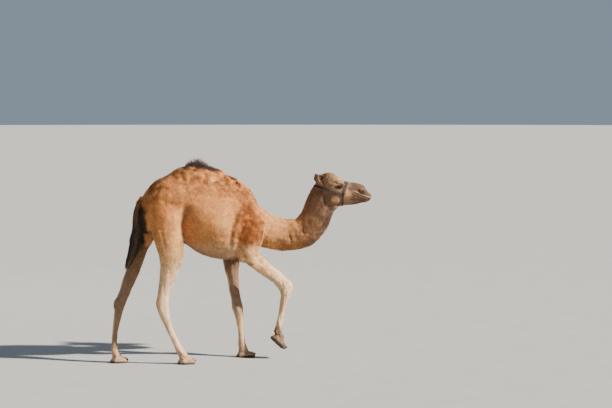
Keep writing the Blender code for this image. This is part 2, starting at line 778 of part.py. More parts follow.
def halter(head_mesh, keep_clear):
    """The noseband, the headstall that runs below the eyes and ears and round the nape, and the knots that
    join them, clear of the meshes given: meshes by node name."""
    surface = tree_of(head_mesh)
    thickness = 0.0035
    lean = 0.34

    def nose_ray(angle):
        return Vector((lean * max(0.0, math.cos(angle)), math.sin(angle), math.cos(angle))).normalized()

    angles = [360 * k / 32 for k in range(32)]
    path = around(surface, Vector((1.222, 0.0, 1.398)), nose_ray, angles)
    broad, narrow = 0.0165, 0.0065
    widths = [narrow + (broad - narrow) * max(0.0, math.cos(math.radians(a))) ** 0.25 for a in angles]
    noseband = strap(path, widths, thickness, surface, True)

    back, across = Vector((-0.957, 0.0, 0.290)), Vector((0, 1, 0))

    def nape_ray(angle):
        return back * math.cos(angle) + across * math.sin(angle)

    reach, steps = 150, 32
    angles = [reach * (2 * k / steps - 1) for k in range(steps + 1)]
    path = around(surface, Vector((1.097, 0.0, 1.434)), nape_ray, angles)
    headstall = strap(path, [0.0085] * len(path), thickness, surface, False)

    pieces, knots = {}, []
    for side, end in ((RIGHT, path[0]), (LEFT, path[-1])):
        place = end + Vector((0.004, side * 0.004, 0.002))
        size = (0.015, 0.0085, 0.015)
        knots.append(grown(ball(place, size, segments=9), GAP))
        pieces[f"halter_knot_{SIDE_NAMES[side]}"] = ball(place, size, segments=9)
    pieces["halter_noseband"] = boolean(noseband, joined(knots))
    pieces["halter_headstall"] = boolean(boolean(headstall, joined(knots)), grown(noseband, GAP))
    for name in list(pieces):
        for mesh in keep_clear:
            pieces[name] = largest(boolean(pieces[name], grown(mesh, 2 * GAP)))
    return pieces


def volume(mesh):
    bm = bmesh.new()
    bm.from_mesh(mesh)
    found = bm.calc_volume()
    bm.free()
    return found


def largest(mesh):
    """The largest closed piece of a mesh, without the crumbs that a cut can leave."""
    return max(islands(mesh), key=volume)


# ---------------------------------------------------------------- the camel


def tree_of(mesh):
    bm = bmesh.new()
    bm.from_mesh(mesh)
    tree = BVHTree.FromBMesh(bm)
    bm.free()
    return tree


def turn_head(mesh):
    """Bends the neck to the right, so that all beyond the bend swings round with it."""
    full = math.radians(HEAD_TURN)
    radius = TURN_LENGTH / full
    for vertex in mesh.vertices:
        x, y, z = vertex.co
        along = x - TURN_FROM
        if along <= 0:
            continue
        angle = full * min(1.0, along / TURN_LENGTH)
        beyond = max(0.0, along - TURN_LENGTH)
        ahead = Vector((math.cos(angle), -math.sin(angle), 0))
        left = Vector((math.sin(angle), math.cos(angle), 0))
        bent = Vector((TURN_FROM + radius * math.sin(angle), -radius * (1 - math.cos(angle)), z))
        vertex.co = bent + ahead * beyond + left * y
    mesh.update()


def build_head():
    """The head and its neck end, carved: cut off square behind the ears and the jaw, and whole."""
    neck_end = column(midline(NECK[-5:]), egg=0.10)
    flesh = softened(fuse([*head_masses(), neck_end], HEAD_VOXEL), 6)
    carved = softened(fuse([boolean(flesh, joined(head_hollows()))], HEAD_VOXEL), 1)
    mesh = thinned(carved, HEAD_TRIANGLES)
    point, normal = HEAD_CUT
    return half_space(mesh, point + normal.normalized() * CUT / 2, normal, True), mesh


def build_body():
    """The trunk, hump, neck and legs, fused and then parted: meshes by node name."""
    masses = trunk_masses() + hump_masses() + neck_masses() + head_masses()
    for leg in LEGS:
        masses += leg_masses(leg) + foot_masses(leg)
    mesh = thinned(softened(fuse(masses, BODY_VOXEL), 16), BODY_TRIANGLES)
    point, normal = HEAD_CUT
    mesh = half_space(mesh, point - normal.normalized() * CUT / 2, normal, False)
    for leg in LEGS:
        mesh = boolean(mesh, sole_block(leg))
        for cutter in [*leg_cuts(leg), pad_cut(leg)]:
            mesh = boolean(mesh, cutter)
    mesh = boolean(mesh, slab(*TRUNK_CUT, 0.30, 0.175))
    mesh = boolean(mesh, slab((-0.060, 0, 1.550), (0, 0, 1), 0.45, 0.25, up=(1, 0, 0)))
    mesh = boolean(mesh, slab((-0.045, 0, 1.627), (0.07, 0, 1), 0.30, 0.20, up=(1, 0, 0)))
    anchors = body_anchors()
    parts = {}
    for piece in islands(mesh):
        if volume(piece) < 1e-6:
            continue
        middle = centre_of(piece)
        name = min(anchors, key=lambda n: (Vector(anchors[n]) - middle).length)
        if name in parts:
            raise ValueError(f"two pieces lie nearest the anchor of {name}")
        parts[name] = piece
    missing = sorted(set(anchors) - set(parts))
    if missing:
        raise ValueError(f"the cuts left no piece for {missing}")
    return parts


def build():
    clear_scene()
    parts = build_body()
    head, whole_head = build_head()
    surface = tree_of(whole_head)
    materials = {name: PAD if name.startswith("pad_") else FLEECE for name in parts}
    materials["hump_tuft"] = WOOL

    for side in (RIGHT, LEFT):
        centre = eye_centre(side, surface)
        head = boolean(head, ball(centre, (EYE_RADIUS + GAP,) * 3, segments=15))
        parts[f"eye_{SIDE_NAMES[side]}"] = ball(centre, (EYE_RADIUS,) * 3, segments=15)
        materials[f"eye_{SIDE_NAMES[side]}"] = EYEBALL
    parts["head"] = largest(head)
    materials["head"] = FLEECE
    keep_clear = [whole_head, parts["neck"]]
    for side in (RIGHT, LEFT):
        name = f"ear_{SIDE_NAMES[side]}"
        parts[name] = ear(side)
        for mesh in keep_clear[:2]:
            parts[name] = largest(boolean(parts[name], grown(mesh, GAP)))
        materials[name] = FLEECE
        keep_clear.append(parts[name])
    for name, mesh in halter(whole_head, keep_clear).items():
        parts[name] = mesh
        materials[name] = WEBBING

    tail = column(midline(TAIL), steps=2, sides=12)
    for name in ("trunk", "leg_hind_left_upper", "leg_hind_right_upper"):
        tail = boolean(tail, grown(parts[name], GAP))
    parts["tail"] = largest(tail)
    materials["tail"] = WOOL

    for leg in LEGS:
        foot, pad = f"foot_{leg}", f"pad_{leg}"
        for side in (RIGHT, LEFT):
            for name in (foot, pad):
                parts[name] = boolean(parts[name], nail(leg, side, GAP))
            which = "outer" if side == side_of(leg) else "inner"
            parts[f"nail_{leg}_{which}"] = nail(leg, side)
            materials[f"nail_{leg}_{which}"] = NAIL
        for name in (foot, pad):
            parts[name] = largest(parts[name])

    for name, mesh in parts.items():
        if name.startswith(("neck", "head", "ear", "eye", "halter")):
            turn_head(mesh)
    points = [v.co for mesh in parts.values() for v in mesh.vertices]
    low = Vector([min(p[k] for p in points) for k in range(3)])
    high = Vector([max(p[k] for p in points) for k in range(3)])
    shift = Matrix.Translation(-Vector(((low.x + high.x) / 2, (low.y + high.y) / 2, low.z)))
    for name, mesh in parts.items():
        mesh.transform(shift)
        mesh.name = name
        add_object(name, mesh, materials[name])


build()
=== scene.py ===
"""The looks of a young dromedary in mid stride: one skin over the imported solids, a coat of solid tufts and
locks, eyes with lids and lashes, nostrils, mouth, nails, soles and a woven halter.

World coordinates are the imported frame's. "Straight" coordinates are the body's own, in metres, with the
origin below the loin, the neck's turn undone and the body symmetric about y = 0. Landmarks, markings and the
lie of the coat are given there.
"""

import math

import bmesh
import bpy
import numpy as np
from mathutils import Matrix, Vector
from mathutils.bvhtree import BVHTree

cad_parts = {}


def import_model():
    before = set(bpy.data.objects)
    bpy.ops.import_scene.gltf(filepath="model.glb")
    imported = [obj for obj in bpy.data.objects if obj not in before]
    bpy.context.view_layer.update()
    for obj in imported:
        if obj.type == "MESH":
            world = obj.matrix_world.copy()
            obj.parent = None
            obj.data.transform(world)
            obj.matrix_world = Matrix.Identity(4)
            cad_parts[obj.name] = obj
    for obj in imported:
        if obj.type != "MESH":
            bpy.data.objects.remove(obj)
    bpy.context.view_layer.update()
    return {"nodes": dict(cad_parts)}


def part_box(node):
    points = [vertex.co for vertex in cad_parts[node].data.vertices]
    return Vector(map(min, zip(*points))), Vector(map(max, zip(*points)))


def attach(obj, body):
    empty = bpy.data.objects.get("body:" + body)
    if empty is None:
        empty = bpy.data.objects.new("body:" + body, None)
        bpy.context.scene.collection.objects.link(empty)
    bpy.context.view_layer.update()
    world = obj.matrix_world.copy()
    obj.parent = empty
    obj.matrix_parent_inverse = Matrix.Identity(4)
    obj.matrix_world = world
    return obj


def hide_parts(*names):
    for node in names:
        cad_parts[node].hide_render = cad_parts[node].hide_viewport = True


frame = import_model()
nodes = frame["nodes"]

# The neck's turn to the right: its angle, where along x it begins, its length, and the height it is above.
TURN, TURN_FROM, TURN_LENGTH, TURN_ABOVE = math.radians(15.0), 0.62, 0.30, 0.80
RADIUS = TURN_LENGTH / TURN
# The straight origin in the world, from the rear end of the front left pad, which is PAD_X ahead of it.
PAD_X, MIDDLE_Y = 0.3079, -0.0003
ORIGIN = np.array([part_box("pad_front_left")[0].x - PAD_X, MIDDLE_Y, 0.0])
VOXEL = 0.0032
THINNED = 0.18  # share of the faces that the body's skin keeps; the head keeps them all
LEGS = ("front_right", "front_left", "hind_right", "hind_left")
LIFTED = "front_right"
RIGHT, LEFT = -1, 1
SIDES = {RIGHT: "right", LEFT: "left"}
EYE = np.array([1.185, 0.0, 1.458])
# Lines on the body's sides, as x, z points from the bottom up.
ELBOW_FOLD = ((0.176, 0.93), (0.181, 0.99), (0.184, 1.05), (0.202, 1.155), (0.226, 1.225), (0.242, 1.27))
PATCH_FRONT = (
    (0.350, 0.93), (0.397, 0.977), (0.447, 1.04), (0.478, 1.09), (0.505, 1.15), (0.485, 1.218), (0.425, 1.28),
    (0.395, 1.35), (0.300, 1.48), (0.200, 1.60),
)
PATCH_REAR = (
    (0.255, 0.93), (0.252, 1.00), (0.253, 1.20), (0.280, 1.285), (0.266, 1.337), (0.238, 1.40), (0.20, 1.50),
)
FLANK_FOLD = ((-0.235, 1.00), (-0.238, 1.08), (-0.232, 1.18), (-0.222, 1.26), (-0.204, 1.33))
HAM_LINE = ((-0.380, 0.94), (-0.396, 1.003), (-0.420, 1.10), (-0.432, 1.160))
NECK_LINES = (
    ((0.782, 0.930), (0.761, 1.008), (0.747, 1.068), (0.752, 1.110)),
    ((0.838, 0.950), (0.815, 1.040), (0.802, 1.110)),
    ((0.700, 0.920), (0.690, 1.010), (0.690, 1.050)),
    ((0.905, 1.000), (0.880, 1.080), (0.868, 1.140)),
)
NECK_DEPTHS = (0.0075, 0.0050, 0.0040, 0.0045)
JAW_FOLD = ((1.070, 1.285), (1.058, 1.340), (1.048, 1.395))
UV_PATCH = 0.0030  # width of one tuft's patch on the coat's map
scene = bpy.context.scene


# ---------------------------------------------------------------- coordinates and noise


def straight(points):
    """Straight coordinates of world points."""
    p = np.asarray(points, float).reshape(-1, 3) - ORIGIN
    x, y = p[:, 0] - TURN_FROM, p[:, 1] + RADIUS
    angle = np.arctan2(x, y)
    sin, cos = math.sin(TURN), math.cos(TURN)
    dx, dy = x - RADIUS * sin, p[:, 1] + RADIUS * (1 - cos)
    out = p.copy()
    bends = (x > 0) & (p[:, 2] > TURN_ABOVE)
    inside, past = bends & (angle < TURN), bends & (angle >= TURN)
    out[inside, 0] = TURN_FROM + angle[inside] * RADIUS
    out[inside, 1] = np.hypot(x, y)[inside] - RADIUS
    out[past, 0] = TURN_FROM + TURN_LENGTH + (dx * cos - dy * sin)[past]
    out[past, 1] = (dx * sin + dy * cos)[past]
    return out


def turn_at(s):
    """How far the body has turned to the right at straight points."""
    share = np.clip((s[:, 0] - TURN_FROM) / TURN_LENGTH, 0, 1)
    return TURN * np.where(s[:, 2] > TURN_ABOVE, share, 0)


def world(points):
    """World coordinates of straight points."""
    s = np.asarray(points, float).reshape(-1, 3)
    a = turn_at(s)
    turned = a > 0
    beyond = np.maximum(0, s[:, 0] - TURN_FROM - TURN_LENGTH)
    sin, cos = np.sin(a), np.cos(a)
    out = s.copy()
    out[turned, 0] = (TURN_FROM + RADIUS * sin + beyond * cos + s[:, 1] * sin)[turned]
    out[turned, 1] = (-RADIUS * (1 - cos) - beyond * sin + s[:, 1] * cos)[turned]
    return out + ORIGIN


def world_direction(s, d):
    """World directions of straight directions d at straight points s."""
    a = turn_at(s)
    sin, cos = np.sin(a), np.cos(a)
    return np.stack([d[:, 0] * cos + d[:, 1] * sin, -d[:, 0] * sin + d[:, 1] * cos, d[:, 2]], axis=1)


def unit(v):
    return v / np.maximum(1e-12, np.linalg.norm(v, axis=-1, keepdims=True))


def step(low, high, value):
    """Smoothly from 0 at low to 1 at high."""
    t = np.clip((value - low) / (high - low), 0, 1)
    return t * t * (3 - 2 * t)


def waves(points, size, seed, count=14):
    """Smooth noise of about unit spread, whose lumps are about size across."""
    rng = np.random.default_rng(seed)
    k = unit(rng.normal(size=(count, 3))) * (math.tau / size / rng.uniform(1.2, 2.8, (count, 1)))
    phase = rng.uniform(0, math.tau, count)
    return np.sin(points @ k.T + phase).sum(axis=1) * math.sqrt(2 / count)


def blob(s, centre, radii):
    """1 at the centre of an ellipsoid, 0 at its surface and beyond. The same on both sides of the body."""
    side = np.stack([s[:, 0], np.abs(s[:, 1]), s[:, 2]], axis=1)
    d = np.linalg.norm((side - centre) / radii, axis=1)
    return 1 - step(0, 1, d)


def fold(s, line, width_behind, width_ahead, foot=0.05):
    """1 along an upright line on the body's sides, fading to both sides and over foot at its lower end."""
    x, z = zip(*line)
    off = s[:, 0] - np.interp(s[:, 2], z, x)
    width = np.where(off > 0, width_ahead, width_behind)
    ends = step(z[0] - 0.02, z[0] - 0.02 + foot, s[:, 2]) * (1 - step(z[-1] - 0.05, z[-1] + 0.02, s[:, 2]))
    return np.exp(-((off / width) ** 2)) * ends


def shifted(line, ahead):
    """A line on the body's sides, moved ahead."""
    return [(x + ahead, z) for x, z in line]


def colour(red, green, blue):
    """Linear colour from screen values of 0 to 255."""
    c = np.array([red, green, blue]) / 255
    return np.where(c <= 0.04045, c / 12.92, ((c + 0.055) / 1.055) ** 2.4)


SAND, PALE, TAN = colour(208, 151, 98), colour(220, 175, 124), colour(200, 142, 94)
ORANGE, RUST, BROWN = colour(186, 118, 64), colour(140, 86, 50), colour(118, 92, 76)
DARK, BLACKISH, GREY = colour(62, 42, 32), colour(34, 24, 18), colour(76, 61, 53)
# The lip colour is the upper lip's pale rim, brightened as a painted highlight.
LIP_HIGHLIGHT, BONE = colour(186, 160, 138), colour(230, 206, 176)
# What the coat's colours are multiplied by, so that the renderer's tone curve leaves them as warm as here.
WARM, COOL = np.array([1.15, 0.93, 0.68]), np.array([1.12, 0.98, 0.84])


# ---------------------------------------------------------------- meshes


def mesh_of(bm):
    """A mesh from a bmesh, which is freed."""
    mesh = bpy.data.meshes.new("piece")
    bm.normal_update()
    bm.to_mesh(mesh)
    bm.free()
    return mesh


def place(name, mesh, material, slot, *replaced):
    """Shows a mesh as a piece of the camel."""
    mesh.name = name
    obj = bpy.data.objects.new(name, mesh)
    scene.collection.objects.link(obj)
    mesh.materials.clear()
    mesh.materials.append(material)
    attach(obj, "root")
    if replaced:
        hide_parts(*replaced)
    return obj


def scratch(mesh):
    """A mesh as an object for modifiers, which applied takes away again."""
    obj = bpy.data.objects.new("scratch", mesh)
    scene.collection.objects.link(obj)
    return obj


def applied(obj):
    """The mesh of a scratch object with its modifiers."""
    bpy.context.view_layer.update()
    graph = bpy.context.evaluated_depsgraph_get()
    mesh = bpy.data.meshes.new_from_object(obj.evaluated_get(graph))
    bpy.data.objects.remove(obj)
    return mesh


def subdivided(mesh, levels):
    """A mesh with rounder, finer faces."""
    obj = scratch(mesh)
    smooth = obj.modifiers.new("smooth", "SUBSURF")
    smooth.levels = smooth.render_levels = levels
    return applied(obj)


def remeshed(mesh, voxel):
    """A mesh of even faces."""
    obj = scratch(mesh)
    remesh = obj.modifiers.new("even", "REMESH")
    remesh.mode = "VOXEL"
    remesh.voxel_size = voxel
    return applied(obj)


def points_of(mesh):
    co = np.empty(len(mesh.vertices) * 3)
    mesh.vertices.foreach_get("co", co)
    return co.reshape(-1, 3)


def normals_of(mesh):
    no = np.empty(len(mesh.vertices) * 3)
    mesh.vertices.foreach_get("normal", no)
    return no.reshape(-1, 3)


def set_points(mesh, points):
    mesh.vertices.foreach_set("co", points.ravel())
    mesh.update()


def smooth_shaded(mesh):
    mesh.polygons.foreach_set("use_smooth", np.ones(len(mesh.polygons), bool))


def spread(mesh, values, rounds, factor=0.5):
    """Values at the vertices, drawn towards their neighbours' mean round by round.

    factor is how far they go each time, and may differ by vertex or be a function of the round.
    """
    count = len(mesh.vertices)
    edges = np.empty(len(mesh.edges) * 2, np.int64)
    mesh.edges.foreach_get("vertices", edges)
    one, other = edges.reshape(-1, 2).T
    degree = np.maximum(1, np.bincount(edges, minlength=count))[:, None]
    values = values.copy()
    for i in range(rounds):
        total = np.empty_like(values)
        for axis in range(values.shape[1]):
            total[:, axis] = np.bincount(one, weights=values[other, axis], minlength=count)
            total[:, axis] += np.bincount(other, weights=values[one, axis], minlength=count)
        f = factor(i) if callable(factor) else factor
        values += (total / degree - values) * f
    return values


def clean_node(name):
    """A CAD node's mesh with its seams of split vertices closed."""
    bm = bmesh.new()
    bm.from_mesh(nodes[name].data)
    bmesh.ops.remove_doubles(bm, verts=bm.verts, dist=1e-5)
    bm.normal_update()
    return bm


def tree_of(mesh):
    """A mesh as a tree for rays and nearest points."""
    bm = bmesh.new()
    bm.from_mesh(mesh)
    tree = BVHTree.FromBMesh(bm)
    bm.free()
    return tree


def circle(bm, centre, across, up, radius, sides):
    """The vertices of a circle."""
    turns = [math.tau * k / sides for k in range(sides)]
    return [bm.verts.new(Vector(centre) + (across * math.cos(a) + up * math.sin(a)) * radius) for a in turns]


def join_rings(bm, rings, loop):
    """Faces between rings of vertices, which run on to the first ring again or have filled ends."""
    pairs = list(zip(rings, rings[1:]))
    if loop:
        pairs.append((rings[-1], rings[0]))
    for low, high in pairs:
        for k in range(len(low)):
            j = (k + 1) % len(low)
            bm.faces.new((low[k], low[j], high[j], high[k]))
    if not loop:
        bm.faces.new(list(reversed(rings[0])))
        bm.faces.new(rings[-1])
    bmesh.ops.recalc_face_normals(bm, faces=bm.faces)


def tube_between(points, radii, sides=12):
    """A closed round tube through points."""
    bm = bmesh.new()
    rings = []
    last = len(points) - 1
    for i, (point, radius) in enumerate(zip(points, radii)):
        ahead = (Vector(points[min(i + 1, last)]) - Vector(points[max(i - 1, 0)])).normalized()
        across = ahead.cross(Vector((0, 1, 0))).normalized()
        rings.append(circle(bm, point, across, across.cross(ahead), radius, sides))
    join_rings(bm, rings, False)
    return bm


# ---------------------------------------------------------------- skin


def tail_line(rows=24):
    """Centres, and half sizes along X and Y, of level slices of the tail's solid, from the top down."""
    co = points_of(nodes["tail"].data)
    levels = np.linspace(co[:, 2].max() - 0.02, co[:, 2].min() + 0.004, rows)
    centres, sizes = [], []
    for z in levels:
        off = co[:, 2] - z
        near = np.abs(off) < 0.045
        weight = np.exp(-((off[near] / 0.018) ** 2))
        middle = (co[near] * weight[:, None]).sum(axis=0) / weight.sum()
        close = co[np.abs(off) < 0.035]
        centres.append([middle[0], middle[1], z])
        sizes.append((close.max(axis=0) - close.min(axis=0))[:2] / 2)
    return np.array(centres), np.array(sizes)


def flesh_names():
    wanted = ("trunk", "neck", "head", "ear_", "leg_", "foot_")
    return sorted(n for n in nodes if n.startswith(wanted) or n == "hump")


def raw_skin():
    """One closed mesh round all the nodes of flesh and the tail's dock."""
    grow, dock_rows, dock_radii = 0.0008, 13, (0.021, 0.011)
    everything = bmesh.new()
    for name in flesh_names():
        bm = clean_node(name)
        for vertex in bm.verts:
            vertex.co += vertex.normal * grow
        everything.from_mesh(mesh_of(bm))
    centres, _ = tail_line()
    everything.from_mesh(mesh_of(tube_between(centres[:dock_rows], np.linspace(*dock_radii, dock_rows))))
    mesh = remeshed(mesh_of(everything), VOXEL)
    s = straight(points_of(mesh))
    head = (s[:, 0] > 0.99) & (s[:, 2] > 1.20)
    obj = scratch(mesh)
    obj.vertex_groups.new(name="body").add(np.nonzero(~head)[0].tolist(), 1.0, "REPLACE")
    thin = obj.modifiers.new("thin", "DECIMATE")
    thin.vertex_group = "body"
    thin.ratio = THINNED
    return applied(obj)


class Skin:
    """The skin's mesh with what is known at each of its vertices."""

    def __init__(self):
        self.mesh = raw_skin()
        self.even()
        self.round_ears()
        self.refine_face()
        self.label()
        self.sculpt()
        self.sink()
        self.describe()

    def even(self):
        """Smooths the solids' facets away, drawing in and pushing out by turns to keep their size."""
        inward, outward, rounds = 0.5, -0.526, 52
        s = straight(points_of(self.mesh))
        ears = blob(s, (0.985, 0.105, 1.525), (0.085, 0.085, 0.085)) > 0.02
        head = step(0.98, 1.06, s[:, 0]) * step(1.18, 1.26, s[:, 2])
        low = 1 - step(0.10, 0.16, s[:, 2])
        weight = (1 - 0.72 * head) * (1 - 0.6 * low)
        weight[ears] = 0.18
        weight = weight[:, None]
        points = points_of(self.mesh)
        points = spread(self.mesh, points, rounds, lambda i: weight * (outward if i % 2 else inward))
        set_points(self.mesh, points)

    def round_ears(self):
        """Draws in the tips of the ears, which are round in life, and broadens their middles."""
        start, share, broader = 0.62, 0.66, 0.36
        points = points_of(self.mesh)
        for side in SIDES:
            base, axis, reach, facing = ear_axes(side)
            across = np.cross(axis, facing)
            rel = points - base
            t, flat = rel @ axis / reach, np.abs(rel @ facing)
            near = (t > 0.1) & (t < 1.2) & (flat < 0.024) & (np.abs(rel @ across) < 0.04)
            shift = np.where(near & (t > start), (t - start) * (share - 1) * reach, 0)
            wide = np.where(near, (rel @ across) * broader * step(0.16, 0.50, t), 0)
            points += shift[:, None] * axis + wide[:, None] * across
        set_points(self.mesh, points)

    def refine_face(self):
        """Splits the faces round the eyes, the nostrils and the mouth."""
        for reach in (0.045, 0.032):
            s = straight(points_of(self.mesh))
            wanted = self.eye_distance(s) < reach
            if reach > 0.04:
                wanted |= (s[:, 0] > 1.29) & (s[:, 2] > 1.30)
            bm = bmesh.new()
            bm.from_mesh(self.mesh)
            bm.verts.ensure_lookup_table()
            edges = [e for e in bm.edges if wanted[e.verts[0].index] and wanted[e.verts[1].index]]
            bmesh.ops.subdivide_edges(bm, edges=edges, cuts=1, use_grid_fill=True)
            bmesh.ops.triangulate(bm, faces=[f for f in bm.faces if len(f.verts) > 4])
            self.mesh = mesh_of(bm)
            s = straight(points_of(self.mesh))
            near = ((s[:, 0] > 1.27) & (s[:, 2] > 1.2)) | (self.eye_distance(s) < 0.05)
            weight = np.where(near, 0.5, 0.0)[:, None]
            set_points(self.mesh, spread(self.mesh, points_of(self.mesh), 3, weight))

    def eye_distance(self, s):
        """How far straight points on the sides of the head are from the eyes, along the head's side."""
        far = np.linalg.norm((s - EYE)[:, [0, 2]], axis=1)
        return np.where(np.abs(s[:, 1]) > 0.03, far, 1.0)

    def label(self):
        """Which node of flesh each vertex belongs to."""
        self.names = flesh_names() + ["tail"]
        bm = bmesh.new()
        owner = []
        for i, name in enumerate(self.names):
            before = len(bm.faces)
            bm.from_mesh(mesh_of(clean_node(name)))
            owner += [i] * (len(bm.faces) - before)
        tree = BVHTree.FromBMesh(bm)
        bm.free()
        self.owner = np.array([owner[tree.find_nearest(p)[2]] for p in map(Vector, points_of(self.mesh))])

    def on(self, prefix):
        """Whether each vertex belongs to a node whose name begins so."""
        wanted = [i for i, name in enumerate(self.names) if name.startswith(prefix)]
        return np.isin(self.owner, wanted)

    def sculpt(self):
        """Lips, nostrils, hollows and folds, and then the lids."""
        points, normals = points_of(self.mesh), normals_of(self.mesh)
        s = straight(points)
        t, off = mouth_line(s)
        lips = (t > 0) & (t < 1.02) & (s[:, 0] > 1.28)
        fade = step(0.0, 0.16, t)
        move = np.zeros(len(s))
        # how far each ridge or groove along the mouth stands out, where it lies above the line, and its width
        ridges = ((-0.0045, 0.0, 0.0028), (0.0022, 0.0095, 0.0060), (0.0016, -0.0085, 0.0060))
        for out, above, width in ridges:
            move += lips * fade * out * np.exp(-(((off - above) / width) ** 2))
        cleft = step(1.405, 1.43, s[:, 0]) * np.exp(-((s[:, 1] / 0.0030) ** 2)) * step(-0.002, 0.006, off)
        move -= 0.0050 * cleft
        slit, rim = nostril(s)
        move += 0.0022 * rim - 0.0085 * slit
        # hollows in front of the eyes and above them, and the bristly chin
        move -= 0.0040 * blob(s, (1.262, 0.055, 1.440), (0.038, 0.05, 0.022))
        move -= 0.0030 * blob(s, (1.130, 0.080, 1.500), (0.026, 0.06, 0.020))
        chin = step(1.335, 1.40, s[:, 0]) * step(0.0, 0.5, -normals[:, 2]) * (s[:, 2] < 1.36)
        move += 0.0008 * chin * waves(s, 0.010, 5)
        move += self.folds(s, normals)
        set_points(self.mesh, points + normals * move[:, None])
        self.lids()

    def folds(self, s, normals):
        """Folds and muscles of the body: how far they stand out."""
        x, _, z = s.T
        side = step(0.15, 0.45, np.abs(normals[:, 1]))
        body = self.on(("trunk", "leg_")) * side * (z > 0.85)
        neck = self.on("neck") | ((x > 0.50) & (z < 1.25))
        jaw = self.on(("neck", "head")) * side
        move = np.zeros(len(s))
        for out, where, line, behind, ahead, foot in (
            (-0.018, body, ELBOW_FOLD, 0.036, 0.016, 0.18),
            (0.006, body, shifted(ELBOW_FOLD, 0.034), 0.020, 0.024, 0.14),
            (-0.020, body, FLANK_FOLD, 0.024, 0.060, 0.20),
            (0.007, body, shifted(FLANK_FOLD, -0.050), 0.035, 0.024, 0.20),
            (-0.0042, body, HAM_LINE, 0.012, 0.016, 0.10),
            (-0.0045, jaw, JAW_FOLD, 0.010, 0.012, 0.05),
        ):
            move += out * where * fold(s, line, behind, ahead, foot)
        for depth, line in zip(NECK_DEPTHS, NECK_LINES):
            move -= depth * neck * side * fold(s, line, 0.0075, 0.0075)
            move += 0.35 * depth * neck * side * fold(s, shifted(line, 0.016), 0.010, 0.010)
        lower = neck * side * (x > 0.48) * (1 - step(1.02, 1.13, z - 0.45 * np.maximum(0, x - 0.80)))
        ripple = np.sin(x * math.tau / 0.034 + 1.5 * waves(s, 0.10, 71)) * step(-1.0, 1.0, waves(s, 0.12, 72))
        move += 0.0016 * lower * ripple
        # tendons and bones of the lower legs, muscles of the upper ones
        shins = self.on("leg_") * (z < 0.80) * (z > 0.14)
        move += 0.0014 * shins * waves(s * [1, 1, 0.25], 0.030, 73)
        muscles = self.on("leg_") * step(0.62, 0.80, z) * side
        move += 0.0026 * muscles * waves(s * [1, 1, 0.20], 0.060, 76)
        # lumps of the woolly back and the shoulder's patch
        patch = self.shoulder(s)
        woolly = np.clip(patch + step(1.40, 1.52, z) * self.on(("trunk", "hump")), 0, 1)
        move += 0.004 * patch + 0.0022 * woolly * waves(s, 0.030, 74)
        return move + 0.0014 * self.on("trunk") * waves(s, 0.09, 75)

    def lids(self):
        """Draws the skin round each eyeball: an almond opening between a heavy upper lid and a lower one."""
        points = points_of(self.mesh)
        for side in SIDES:
            centre, radius, out, ahead, up = eye_frame(side)
            rel = points - centre
            u, v, w = rel @ ahead, rel @ up, rel @ out
            near = (np.hypot(u, v) < 0.045) & (w > -0.02)
            q = almond(u, v)
            off = np.minimum(u**2 + v**2, (radius * 0.96) ** 2)
            lid = np.sqrt(np.maximum((radius + 0.0030) ** 2 - off, 0))
            share = 1 - step(0.020, 0.040, np.hypot(u, v * 1.25))
            drawn = w + (lid - w) * share * 0.92
            rim = 0.0018 * np.exp(-(((q - 1.22) / 0.20) ** 2))
            under = lid - 0.0075 * (1 - step(0.75, 1.0, q)) - 0.004
            drawn = np.where(q < 1.0, np.minimum(drawn, under), drawn + rim)
            crease = 0.0022 * np.exp(-(((v - 0.0165 + 12 * u**2) / 0.0022) ** 2)) * (np.abs(u) < 0.026)
            points[near] += out * (drawn - crease - w)[near, None]
        set_points(self.mesh, points)
        close = self.eye_distance(straight(points)) < 0.040
        set_points(self.mesh, spread(self.mesh, points, 2, np.where(close, 0.4, 0.0)[:, None]))

    def sink(self):
        """Moves the skin in by the depth of the coat, so that the hair's tips come to the solids' surface."""
        s = straight(points_of(self.mesh))
        clear = step(0.020, 0.042, self.eye_distance(s))
        self.depth = spread(self.mesh, self.coat_depth(s)[:, None], 12)[:, 0] * clear
        inset = self.depth + 0.0006 * clear
        set_points(self.mesh, points_of(self.mesh) - normals_of(self.mesh) * inset[:, None])

    def coat_depth(self, s):
        """How far the coat stands out of the skin at straight points."""
        x, _, z = s.T
        depth = 0.0055 + 0.005 * self.shoulder(s) + 0.005 * step(1.40, 1.52, z)
        depth[self.on("neck")] = 0.0055
        depth[self.on("leg_")] = np.where(z > 0.75, 0.0048, 0.0024)[self.on("leg_")]
        face = 0.0026 - 0.0018 * step(1.24, 1.32, x) + 0.003 * (1 - step(1.06, 1.12, x))
        depth = np.where(self.on("head"), np.minimum(depth, face), depth)
        for name, value in (("ear_", 0.0004), ("foot_", 0.0010), ("tail", 0.0030)):
            depth[self.on(name)] = value
        return np.where(z < 0.10, np.minimum(depth, 0.0008), depth)

    def shoulder(self, s):
        """The patch of long orange wool on each shoulder."""
        x, z = s[:, 0], s[:, 2] + 0.012 * waves(s, 0.08, 21)
        wobble = 0.012 * waves(s, 0.05, 22)
        front, rear = (np.interp(z, *reversed(list(zip(*line)))) for line in (PATCH_FRONT, PATCH_REAR))
        return (
            step(-0.014, 0.018, x - rear + wobble)
            * (1 - step(-0.016, 0.012, x - front + wobble))
            * step(0.955, 1.030, z)
            * step(0.02, 0.09, np.abs(s[:, 1]) + 2.0 * np.maximum(0, z - 1.28))
        )

    def dark_hair_and_shade_by_tail(self, s, reach):
        """The band of each buttock beside the tail, up to reach from the middle, where the tail's dark hair
        lies and painted shade falls between tail and buttock.
        """
        x, z = s[:, 0] + 0.006 * waves(s, 0.03, 23), s[:, 2]
        edge = np.interp(z, [0.80, 1.00, 1.14, 1.33], [-0.475, -0.478, -0.503, -0.515])
        beside = 1 - step(reach - 0.035, reach + 0.010, np.abs(s[:, 1]))
        return beside * step(0.0, -0.020, x - edge) * step(0.90, 1.06, z) * (1 - step(1.30, 1.345, z))

